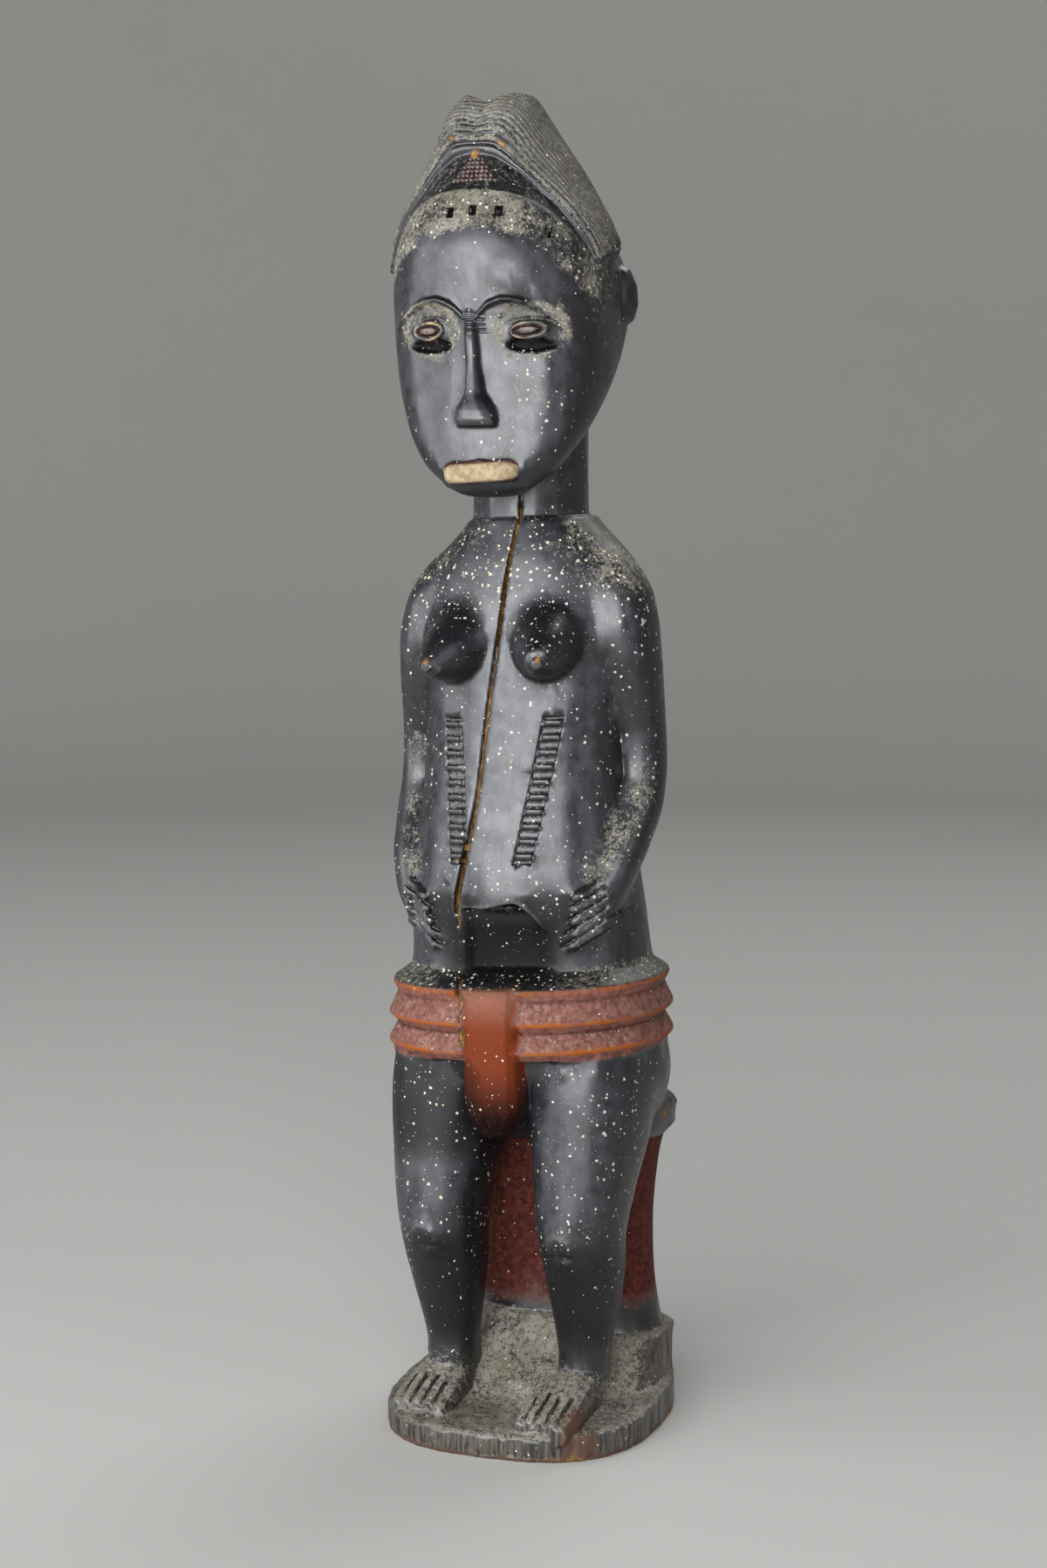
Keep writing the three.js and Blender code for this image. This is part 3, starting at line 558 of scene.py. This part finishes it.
fingers_down, along = finger_place(x, z)
between = np.abs(fingers_down - 0.5 - np.round(fingers_down - 0.5)) * 4.2
on_hand = ramp(fingers_down, -0.2, 0.2) * ramp(fingers_down, 4.2, 3.8) * (y < -12)
on_hand *= ramp(along, -0.35, -0.05) * ramp(along, 1.35, 1.2)
lift -= FINGER_CUT_DEPTH * on_hand * ramp(between, 0.75, 0.25)

# Belt
# Three rolls of cloth are carved round the hips as drawn-out rounds, true to the eye all the way.
BELT_SIDES = 22
BELT_HALF, BELT_FRONT, BELT_BACK, BELT_SQUARENESS = 54, -49.5, 46, 2.2
belt_middle, belt_depth = (BELT_FRONT + BELT_BACK) / 2, (BELT_BACK - BELT_FRONT) / 2
turns = np.arange(BELT_SIDES + 1) / BELT_SIDES * 2 * np.pi
sided = np.stack([
    BELT_HALF * np.sign(np.cos(turns)) * np.abs(np.cos(turns)) ** (2 / BELT_SQUARENESS),
    belt_depth * np.sign(np.sin(turns)) * np.abs(np.sin(turns)) ** (2 / BELT_SQUARENESS),
])
shares = np.linspace(0, 1, 40, endpoint=False)[None, :, None]
flats = (sided.T[:-1, None] * (1 - shares) + sided.T[1:, None] * shares).reshape(-1, 2)
turn = np.arctan2(y - belt_middle, x)
flat_reach = np.interp(turn, np.arctan2(flats[:, 1], flats[:, 0]), np.hypot(*flats.T), period=2 * np.pi)
round_reach = (np.abs(np.cos(turn) / BELT_HALF) ** BELT_SQUARENESS
               + np.abs(np.sin(turn) / belt_depth) ** BELT_SQUARENESS) ** (-1 / BELT_SQUARENESS)
belted = ramp(z, 145.5, 147) * ramp(z, 178.5, 177) * (np.hypot(x, y - belt_middle) > 0.86 * flat_reach)
belted *= np.maximum(ramp(np.abs(x), 11, 13), ramp(y, -40, -30))
points[:, :2] += (points[:, :2] - [0, belt_middle]) * (belted * (round_reach / flat_reach - 1))[:, None]

# Legs
# Each knee is marked by a small notch cut under its cap.
for side in (-1, 1):
    notch = np.hypot((points[:, 0] - 27 * side + 1) / 5, (points[:, 2] - 74.5) / 1.8)
    lift -= 1.1 * ramp(notch, 1.15, 0.5) * (y < -30)

# Base and block
# The block's sides keep the chisel's upright marks, its lower edge is chipped, and the ground between the
# feet was left rough.
x, y, z = points.T
sideways = ramp(np.abs(facing[:, 2]), 0.5, 0.25)
chiselled = sideways * ramp(z, 33, 30) * ((np.hypot(x / 47, y / 50) > 0.9) | (y > 0))
marks = unevenness(points, np.array([2.6, 2.6, 26]))
lift -= 0.55 * chiselled * ramp(marks, -0.1, 0.5)
chipped = ramp(z, 4.5, 0.5) * sideways
lift -= 1.0 * chipped * ramp(unevenness(points, 5.5), 0.1, 0.6)
ground = ramp(facing[:, 2], 0.25, 0.6) * ramp(z, 43, 40) * ramp(z, 5, 8)
lift += ground * (0.25 * unevenness(points, 1.8) + 0.3 * unevenness(points, 5))
lift += 0.14 * unevenness(points, 10) * ramp(z, 3, 6)

points += facing * lift[:, None]
points[:, 2] = np.where(points[:, 2] < 0.35, 0, points[:, 2])
skin.vertices.foreach_set("co", (points * MM).astype(np.float32).ravel())
skin.update()

# How far each point stands out from or lies back in the skin around it, by about two millimetres' reach; the
# colour lightens what stands out as wear and darkens what lies back as painted shade.
ends = np.empty(len(skin.edges) * 2, np.int32)
skin.edges.foreach_get("vertices", ends)
one, other = ends.reshape(-1, 2).T
neighbours = np.bincount(one, minlength=len(points)) + np.bincount(other, minlength=len(points))
settled = points.copy()
for _ in range(24):
    for axis in range(3):
        around = np.bincount(one, settled[other, axis], len(points))
        around += np.bincount(other, settled[one, axis], len(points))
        settled[:, axis] += 0.6 * (around / neighbours - settled[:, axis])
standing = np.einsum("ij,ij->i", points - settled, facings(skin))
skin.attributes.new("standing", "FLOAT", "POINT").data.foreach_set("value", standing.astype(np.float32))

# The mesh is thinned where the skin is plain.
TRIANGLES = 194000
thin = figure.modifiers.new("thin", "DECIMATE")
thin.ratio = TRIANGLES / sum(len(face.vertices) - 2 for face in skin.polygons)
skin = with_modifiers(figure)
skin.shade_smooth()

# Colour
# Where each finish lies on the wood: paint on belt, flap and stool, raw wood where it split or was rubbed
# through, cream on mouth and eyelids, dust where it settles, and flecks of old whitewash; and where sheen and
# shade are painted on.
points = places(skin)
facing = facings(skin)
standing = np.empty(len(points), np.float32)
skin.attributes["standing"].data.foreach_get("value", standing)
x, y, z = points.T
up = facing[:, 2]
level = level_trunk(points)[:, 2]
back, high = hoop_place(points)
head_x, _, head_z = upright_head(points).T
on_head = ramp(z, 350, 356)
coarse, middling, small = [unevenness(points, size) for size in (16, 7, 2.5)]


def ball_at(place, radius):
    """1 near a place and 0 beyond a radius of it."""
    return ramp(np.linalg.norm(points - place, axis=1), radius, 0.55 * radius)


def near_line(places_along, radius):
    """1 along a line of places and 0 beyond a radius of it."""
    nearest = np.full(len(points), 99.0)
    for start, end in zip(places_along, places_along[1:]):
        start, span = np.array(start, float), np.array(end, float) - np.array(start, float)
        share = np.clip((points - start) @ span / (span @ span), 0, 1)
        nearest = np.minimum(nearest, np.linalg.norm(points - start - share[:, None] * span, axis=1))
    return ramp(nearest, radius, 0.3 * radius)


# Flap: a strip of cloth that hangs over the belt in front and tucks in between the thighs.
flap_half = np.interp(level, [116, 120, 125, 132, 148, 174], [6, 9.5, 11, 11.5, 11, 10.4])
flap = ramp(np.abs(x - 0.4), flap_half + 0.3, flap_half - 0.2) * ramp(y, -38, -41) * ramp(level, 115, 117)
flap *= ramp(level, 174.6, 174.0)
flap_drop = np.clip((174 - level) / 56, 0, 1)

# Belt and stool column: red-brown earth paint.
belt = ramp(level, 146.4, 147.2) * ramp(level, 174.0, 173.2) * (1 - flap)
belt *= np.hypot(x / BELT_HALF, (y - belt_middle) / belt_depth) > 0.8
column_half = 39.5 + 4.5 * ((z - 29) / 80 * 2 - 1) ** 2
in_column = np.abs(x / column_half) ** 2.3 + np.abs((y - 27) / (0.56 * column_half)) ** 2.3
column = ramp(np.abs(in_column - 1), 0.2, 0.12) * ramp(z + 2 * middling, 42, 47) * ramp(z, 108.5, 107.5)

# Raw wood.
split, _ = beside_crack(points)
raw = ramp(split, 2.1, 1.5) * ramp(standing, 0.05, -0.35)
raw = np.maximum(raw, ramp(z + 0.8 * middling, 2.8, 1.2) * (0.55 + 0.45 * coarse))
rubbed_corner = ramp(np.abs(x - 35 + 0.6 * small), 5.6, 4.4) * ramp(y, -37, -39) * ramp(z, 19, 17)
raw = np.maximum(raw, 0.45 * rubbed_corner)
for place, radius in [
    ((-22.8, -52.2, 294.4), 2.2), ((20.6, -52.2, 296.2), 2.0), ((-1.1, -30.4, 479.4), 2.2),
    ((-21.2, -30.5, 482), 1.8), ((47.4, 20.8, 117.5), 3.0), ((-11.4, -31.4, 476.2), 2.4),
]:
    raw = np.maximum(raw, (0.8 + 0.3 * small) * ball_at(place, radius))

# Cream: the bar of the mouth and the eyelids; a red-brown stain in the slits and on the chequered triangle.
in_mouth = mouth_place(head_x, head_z)
at_mouth = ramp(y, -46, -48) * ramp(in_mouth, 1.25, 1.05)
cream = at_mouth * ramp(in_mouth + 0.1 * small + 0.06 * middling, 1.0, 0.86)
cream *= 1 - 0.4 * ramp(np.abs(head_x + 0.5 + 2 * middling), 2.2, 0.6)
stain = 0.8 * at_mouth * ramp(np.abs(in_mouth - 1), 0.14, 0.05)
stain += 0.3 * at_mouth * ramp(np.abs(head_x + 1.5 + 1.5 * middling), 2.4, 0.6)
stain += 0.42 * in_triangle(head_x, y, head_z) * (1 - raw)
dust = np.zeros(len(points))
shade = np.zeros(len(points))
for eye in EYES:
    near = (y < -30) & (np.abs(head_x - eye[0]) < 16) & (np.abs(head_z - eye[1]) < 13)
    rim, slit, socket = eye_place(head_x, head_z, eye)
    lid = ramp(rim, 1.1, 1.0) * ramp(slit, 1.05, 1.3)
    lens = ramp(slit, 0.8, 0.6) * ramp(np.abs(head_z - eye[1] + 0.2), 0.15, 0.45)
    cream = np.maximum(cream, near * np.maximum((0.45 + 0.25 * small) * lid, 0.4 * lens))
    stain = np.maximum(stain, near * 0.5 * ramp(slit, 1.3, 1.0))
    # Painted shade along the seam round the slit.
    shade = np.maximum(shade, near * 0.8 * ramp(np.abs(slit - 0.92), 0.3, 0.15))
    ring = ramp(np.abs(socket - 0.98), 0.3, 0.06)
    dust = np.maximum(dust, near * ring * (0.8 + 0.5 * small))
    over_lid = ramp(socket, 1.0, 0.8) * ramp(rim, 1.1, 1.4) * ramp(head_z - eye[1], -1, 3)
    dust = np.maximum(dust, near * 0.5 * over_lid)
    # Painted shade in the cut under the eye.
    under = np.hypot((head_x - eye[0]) / 8.4, (head_z - eye[1] + 5.2) / 2.6)
    shade = np.maximum(shade, near * 0.95 * ramp(under, 1.2, 0.9) * ramp(rim, 0.98, 1.1))

# Painted shade, dark and dull, where shade falls: in the split and the notches, under the belly and the chin,
# on the shins and high on the right thigh; and a darker, duller patch on the brow.
in_split = ramp(split, 2.1, 1.5) * ramp(standing, -0.1, -0.5)
shade = np.maximum(shade, (0.55 + 0.35 * middling) * in_split)
recess = ramp(np.abs(x - 1), 32, 12) * ramp(np.abs(level - 187), 17, 8) * ramp(y, -22, -32)
shade = np.maximum(shade, 0.9 * recess)
dull_dark_brow = near_line([(8.7, -45.1, 440), (5, -46, 430), (10, -45, 424)], 9)
dull_dark_brow *= ramp(middling + 0.5 * small, -0.5, 0.3)
shade = np.maximum(shade, 0.5 * dull_dark_brow)
shade = np.maximum(shade, 0.55 * ramp(head_z, 358, 353) * ramp(z, 343, 347) * ramp(y, -24, -30))
shade = np.maximum(shade, 0.55 * ramp(x, 0, -6) * ramp(z, 102, 116) * ramp(level, 148, 145) * ramp(y, 0, -15))
shade = np.maximum(shade, 0.4 * ramp(z, 88, 68) * ramp(z, 32, 40) * ramp(y, 2, -6))
for across, height, half in NOTCHES:
    in_notch = ramp(np.abs(head_x - across), half + 0.5, half)
    in_notch *= ramp(np.abs(head_z - height), NOTCH_HALF_HEIGHT + 0.4, NOTCH_HALF_HEIGHT)
    shade = np.maximum(shade, in_notch * (y < -20))

# Dust.
ground = ramp(up, 0.2, 0.6) * ramp(z, 46, 42)
dust = np.maximum(dust, (0.8 + 0.15 * middling) * ground)
dust = np.maximum(dust, (0.45 + 0.25 * middling) * ramp(z, 40, 18))
dust = np.maximum(dust, (0.6 + 0.2 * middling) * ramp(up, 0.1, 0.6) * ramp(z, 36, 22) * (y < 0))
shoulders = ramp(up, 0.2, 0.6) * ramp(level, 316, 326) * ramp(level, 348, 344)
dust = np.maximum(dust, (0.42 + 0.35 * middling) * shoulders)
left_shoulder = ramp(up, 0.05, 0.5) * ramp(level, 306, 322) * ramp(x, 18, 30) * ramp(z, 350, 345)
dust = np.maximum(dust, (0.62 + 0.3 * middling) * left_shoulder)
forearm = near_line([(47.6, -11.5, 250.3), (42.2, -22.8, 231.4), (35.1, -29.5, 218.4)], 10)
dust = np.maximum(dust, (0.5 + 0.25 * middling) * forearm)
forearm = near_line([(-42.3, -11.9, 259.9), (-43, -20, 238), (-35.5, -29.2, 214.9)], 9)
dust = np.maximum(dust, (0.42 + 0.25 * middling) * forearm)
dust = np.maximum(dust, 0.5 * ramp(level, 172.6, 174.4) * ramp(level, 182, 180))
dust = np.maximum(dust, 0.3 * belt * ramp(up, 0.0, 0.35))
hands = ramp(np.abs(np.abs(x) - 33), 9, 7) * ramp(np.abs(level - 200), 15, 12) * ramp(y, -14, -18)
dust = np.maximum(dust, 0.4 * hands * ramp(standing, -0.1, 0.3))
hair = ramp(back, 0.4, 1) * ramp(high, -1, 1) * on_head
dust = np.maximum(dust, hair * (0.68 + 0.2 * middling) * ramp(standing, -0.15, 0.1))
panel = ramp(back, 0.4, -0.6) * ramp(head_z, hairline(head_x) - 1, hairline(head_x) + 1) * (y < 0) * on_head
dust = np.maximum(dust, 0.3 * panel)
ledge = ramp(head_z + 2 * middling, hairline(head_x) - 17, hairline(head_x) - 13)
ledge *= ramp(back, 0.4, -0.6) * on_head
ledge *= ramp(head_z, hairline(head_x) + 0.6, hairline(head_x) - 0.4) * (y < -5)
dust = np.maximum(dust, ledge * (0.75 + 0.3 * middling) * ramp(head_x, 34, 14))
dust = np.maximum(dust, ledge * (0.42 + 0.4 * middling))
for row in SCAR_ROWS:
    across, bars_down = scar_place(points, row)
    ladder = ramp(np.abs(across), 4, 3) * ramp(bars_down, -0.6, -0.4) * ramp(bars_down, 9.7, 9.5)
    dust = np.maximum(dust, 0.4 * ladder * ramp(standing, 0.0, -0.3))
temple = near_line([(30, -8, 438), (32.6, -17.2, 425), (33, -18, 410)], 11)
dust = np.maximum(dust, (0.3 + 0.4 * middling) * temple)
left_cheek = near_line([(16, -46, 400), (14, -47, 385), (3, -50, 370)], 16)
dust = np.maximum(dust, (0.16 + 0.3 * middling) * left_cheek)
dust = np.maximum(dust, 0.6 * ball_at((31.3, 4.8, 438), 3.5))
dust *= 1 - np.maximum(0.8 * np.maximum(cream, raw), shade)

# Flecks.
flecks = 0.3 + 0.12 * coarse
flecks += 0.16 * ramp(level, 182, 200) * ramp(level, 345, 330) * ramp(y, 5, -10)
flecks += 0.42 * ramp(level, 298, 318) * ramp(level, 349, 344) * (0.85 + 0.6 * middling)
flecks += 0.45 * ramp(level, 173, 175) * ramp(level, 181, 178)
flecks += 0.2 * ramp(level, 146, 140) * ramp(z, 50, 70) * ramp(y, 10, -10)
flecks += 0.28 * on_head * near_line([(16, -46, 398), (20, -44, 385), (6, -49, 374)], 16)
flecks += 0.35 * ledge + 0.1 * hair
for eye in EYES:
    socket = eye_place(head_x, head_z, eye)[2]
    flecks += 0.4 * (y < -30) * ramp(np.abs(socket - 1), 0.25, 0.05)
flecks = np.maximum(flecks, 0.95 * near_line([(23.5, -29.5, 281.6), (21, -30.9, 272.7)], 1.8))
flecks *= 1 - 0.75 * ramp(up, -0.15, -0.6)
flecks *= 1 - 0.55 * ramp(y, 5, 25)
flecks *= 1 - np.maximum(cream, 0.7 * raw)

# Painted sheen: a grey veil on the polish of what faces forward, standing in for the broad reflection of the
# soft box in front.
painted_sheen = ramp(up, -0.3, 0.0) * ramp(up, 0.6, 0.25) * ramp(facing[:, 1], -0.3, -0.75) * ramp(z, 70, 80)
painted_sheen *= 1 - ramp(z, 347, 350) * ramp(z, 359, 356)
painted_sheen *= 1 - 0.8 * ramp(x, 0, -5) * ramp(z, 104, 114) * ramp(level, 148, 145)
painted_sheen *= (1 - hair) * (1 - panel) * (1 - shade)
block_side = ramp(z, 34, 31) * ramp(np.abs(up), 0.6, 0.3) * ((np.hypot(x / 47, y / 50) > 0.9) | (y > 0))
dust *= 1 - 0.6 * block_side

FINISHES_AND_PAINTED_LIGHT = {
    "flap": flap, "flap_drop": flap_drop, "paint": np.maximum(belt, column), "column": column, "raw": raw,
    "cream": cream, "stain": stain, "dust": dust, "flecks": flecks, "shade": shade,
    "block_side": block_side, "painted_sheen": painted_sheen, "hair": hair, "hair_back": back / (2 * HAIR_DEPTH),
}
for name, amounts in FINISHES_AND_PAINTED_LIGHT.items():
    kept = skin.attributes.new(name, "FLOAT", "POINT")
    kept.data.foreach_set("value", np.clip(amounts, 0, 1).astype(np.float32))


def add(tree, kind, inputs, **settings):
    """A new node with its settings; each input is a value, or a socket to link from."""
    node = tree.nodes.new(kind)
    for setting, value in settings.items():
        setattr(node, setting, value)
    for socket, value in inputs.items():
        if isinstance(value, bpy.types.NodeSocket):
            tree.links.new(value, node.inputs[socket])
        else:
            node.inputs[socket].default_value = value
    return node


# Blackened wood: dense wood rubbed black and polished, so its grain shows as faint upright streaks in the
# gloss; with earth paint, cream paint, bare wood, dust and flecks over it where the attributes say so, and
# painted sheen and painted shade where they say so too.
wood = bpy.data.materials.new("blackened_wood")
wood.use_nodes = True
tree = wood.node_tree
shader = tree.nodes["Principled BSDF"]
place = add(tree, "ShaderNodeTexCoord", {}).outputs["Object"]


def amount(name):
    return add(tree, "ShaderNodeAttribute", {}, attribute_name=name).outputs["Fac"]


def mixed(share, first, second):
    node = add(tree, "ShaderNodeMix", {0: share, 6: first, 7: second}, data_type="RGBA")
    return node.outputs[2]


def stepped(value, low, high, to_low=0.0, to_high=1.0):
    inputs = {"Value": value, "From Min": low, "From Max": high, "To Min": to_low, "To Max": to_high}
    return add(tree, "ShaderNodeMapRange", inputs, interpolation_type="SMOOTHSTEP").outputs["Result"]


def sums(operation, first, second):
    return add(tree, "ShaderNodeMath", {0: first, 1: second}, operation=operation).outputs[0]


def cloudy(size, detail=3.0, vector=place):
    inputs = {"Vector": vector, "Scale": 1 / (size * MM), "Detail": detail, "Roughness": 0.6}
    return add(tree, "ShaderNodeTexNoise", inputs).outputs["Fac"]


upright_grain = add(tree, "ShaderNodeMapping", {"Vector": place, "Scale": (1, 1, 0.07)}).outputs["Vector"]
grain = cloudy(1.1, 4.0, upright_grain)
patches = cloudy(18, 4.0)
specks = cloudy(0.8, 3.0)
crumbs = cloudy(2.2, 5.0)
wear_and_hollow_shade = amount("standing")

black = mixed(stepped(patches, 0.35, 0.65), linear("0b0b0e"), linear("151418"))
black = mixed(stepped(grain, 0.45, 0.75, 0.0, 0.5), black, linear("28272b"))
# Painted sheen: polish that faces forward is lightened to blue-grey in mottled patches.
painted_sheen_share = sums("MULTIPLY", amount("painted_sheen"), stepped(cloudy(6, 4.0), 0.3, 0.7, 0.05, 0.7))
black = mixed(painted_sheen_share, black, linear("3e3f46"))
weathered = mixed(stepped(grain, 0.35, 0.6), linear("171516"), linear("524b43"))
black = mixed(amount("block_side"), black, weathered)
black = mixed(stepped(wear_and_hollow_shade, 0.22, 0.7, 0.0, 0.5), black, linear("656361"))
# Painted shade: what lies back in the skin around it is darkened towards black.
black = mixed(stepped(wear_and_hollow_shade, -0.12, -0.7, 0.0, 0.9), black, linear("050404"))

earth = mixed(stepped(crumbs, 0.35, 0.65), linear("64403a"), linear("83574c"))
# Painted shade: the earth paint darkens where it lies back, in the hollows between the belt's rolls.
earth = mixed(stepped(wear_and_hollow_shade, -0.05, -0.6), earth, linear("1f0f0c"))
rubbed_paint = sums("ADD", wear_and_hollow_shade, stepped(patches, 0.3, 0.7, -0.12, 0.12))
earth = mixed(stepped(rubbed_paint, 0.14, 0.5), earth, linear("8a4a1c"))
redder = mixed(stepped(crumbs, 0.35, 0.65), linear("3c1b16"), linear("5a2c24"))
earth = mixed(amount("column"), earth, redder)
colour = mixed(amount("paint"), black, earth)

# The flap's paint is lit and shaded in its colour: a painted highlight, pale and pinkish, at its top, and
# painted shade to near black at its foot between the thighs.
strip = mixed(stepped(amount("flap_drop"), 0.02, 0.3), linear("7f5242"), linear("682c14"))
strip = mixed(stepped(amount("flap_drop"), 0.45, 0.9), strip, linear("150705"))
strip = mixed(stepped(crumbs, 0.5, 0.7, 0.0, 0.35), strip, linear("55281a"))
colour = mixed(amount("flap"), colour, strip)

bare = mixed(stepped(grain, 0.35, 0.65), linear("553a1c"), linear("a07a3e"))
bare = mixed(stepped(amount("raw"), 0.5, 0.75), linear("4e372c"), bare)
colour = mixed(stepped(amount("raw"), 0.1, 0.4), colour, bare)

ivory = mixed(stepped(crumbs, 0.4, 0.65), linear("86745a"), linear("a39277"))
soaked = sums("ADD", amount("stain"), stepped(specks, 0.3, 0.7, -0.15, 0.15))
colour = mixed(stepped(soaked, 0.15, 0.75, 0.0, 0.9), colour, linear("4a2219"))
painted = sums("ADD", amount("cream"), stepped(specks, 0.3, 0.7, -0.1, 0.1))
colour = mixed(stepped(painted, 0.15, 0.7), colour, ivory)

unequal = stepped(sums("ADD", specks, crumbs), 0.7, 1.35, -0.42, 0.42)
settled = sums("ADD", amount("dust"), sums("MULTIPLY", unequal, stepped(amount("dust"), 0.0, 0.3)))
dusted = stepped(settled, 0.22, 0.95, 0.0, 0.9)
dusty = mixed(stepped(patches, 0.35, 0.65), linear("6f6959"), linear("8d877b"))
dusty = mixed(stepped(cloudy(0.9, 2.0), 0.52, 0.68, 0.0, 0.75), dusty, linear("3d382e"))
colour = mixed(dusted, colour, dusty)
# Painted shade: the shade attribute darkens the colour to near black.
colour = mixed(amount("shade"), colour, linear("060403"))

# The grooves of the hair's rows are painted dark as shade, and run finer than the thinned mesh can hold them.
rows = sums("MULTIPLY", amount("hair_back"), 2 * HAIR_DEPTH / RIDGE_PITCH)
rows = sums("SUBTRACT", rows, FIRST_GROOVE / RIDGE_PITCH)
from_row = sums("PINGPONG", rows, 0.5)
grooves = sums("MULTIPLY", amount("hair"), stepped(from_row, 0.3, 0.12))
colour = mixed(sums("MULTIPLY", grooves, 0.9), colour, linear("080706"))

wobble = add(tree, "ShaderNodeTexNoise", {"Vector": place, "Scale": 1 / (1.4 * MM), "Detail": 2.0})
shift = {0: wobble.outputs["Color"], 1: (1.1 * MM,) * 3}
bent = add(tree, "ShaderNodeVectorMath", shift, operation="MULTIPLY").outputs[0]
bent = add(tree, "ShaderNodeVectorMath", {0: place, 1: bent}, operation="ADD").outputs[0]
spots = None
for size, least, most, rarity in ((2.3, 0.12, 0.28, 0.0), (6.0, 0.07, 0.15, 0.1), (1.3, 0.12, 0.2, 0.12)):
    cells = add(tree, "ShaderNodeTexVoronoi", {"Vector": bent, "Scale": 1 / (size * MM)})
    chance = add(tree, "ShaderNodeSeparateColor", {"Color": cells.outputs["Color"]}).outputs[0]
    spare = sums("SUBTRACT", sums("SUBTRACT", amount("flecks"), rarity), chance)
    radius = stepped(spare, 0.0, 0.5, least, most)
    inside = stepped(sums("SUBTRACT", radius, cells.outputs["Distance"]), 0.0, 0.07)
    spot = sums("MULTIPLY", inside, stepped(spare, 0.0, 0.02))
    spots = spot if spots is None else sums("MAXIMUM", spots, spot)
whitewash = mixed(stepped(patches, 0.4, 0.7), linear("c9c6bb"), linear("cfc39a"))
colour = mixed(sums("MULTIPLY", spots, 0.85), colour, whitewash)

gloss = sums("ADD", stepped(grain, 0.3, 0.7, 0.0, 0.06), stepped(cloudy(8, 4.0), 0.3, 0.7, 0.25, 0.38))
dull = sums("MAXIMUM", amount("paint"), amount("flap"))
dull = sums("MAXIMUM", dull, sums("MAXIMUM", amount("cream"), amount("raw")))
dull = sums("MAXIMUM", dull, sums("MAXIMUM", amount("shade"), grooves))
roughness = add(tree, "ShaderNodeMix", {0: dull, 2: gloss, 3: 0.62}).outputs[0]
roughness = add(tree, "ShaderNodeMix", {0: sums("MAXIMUM", dusted, spots), 2: roughness, 3: 0.92}).outputs[0]
relief = sums("SUBTRACT", sums("MULTIPLY", grain, 0.35), sums("MULTIPLY", grooves, 2.5))
relief = sums("ADD", relief, sums("ADD", sums("MULTIPLY", dusted, specks), spots))
bump = add(tree, "ShaderNodeBump", {"Height": relief, "Strength": 0.5, "Distance": 0.12 * MM})
sheen = sums("SUBTRACT", 0.7, sums("MULTIPLY", dull, 0.6))
tree.links.new(sheen, shader.inputs["Specular IOR Level"])
tree.links.new(colour, shader.inputs["Base Color"])
tree.links.new(roughness, shader.inputs["Roughness"])
tree.links.new(bump.outputs["Normal"], shader.inputs["Normal"])
skin.materials.clear()
skin.materials.append(wood)

# Fittings
# The carved wood is the whole part: it stands on the floor by its own underside.
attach(figure, "root")
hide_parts("carved_figure")
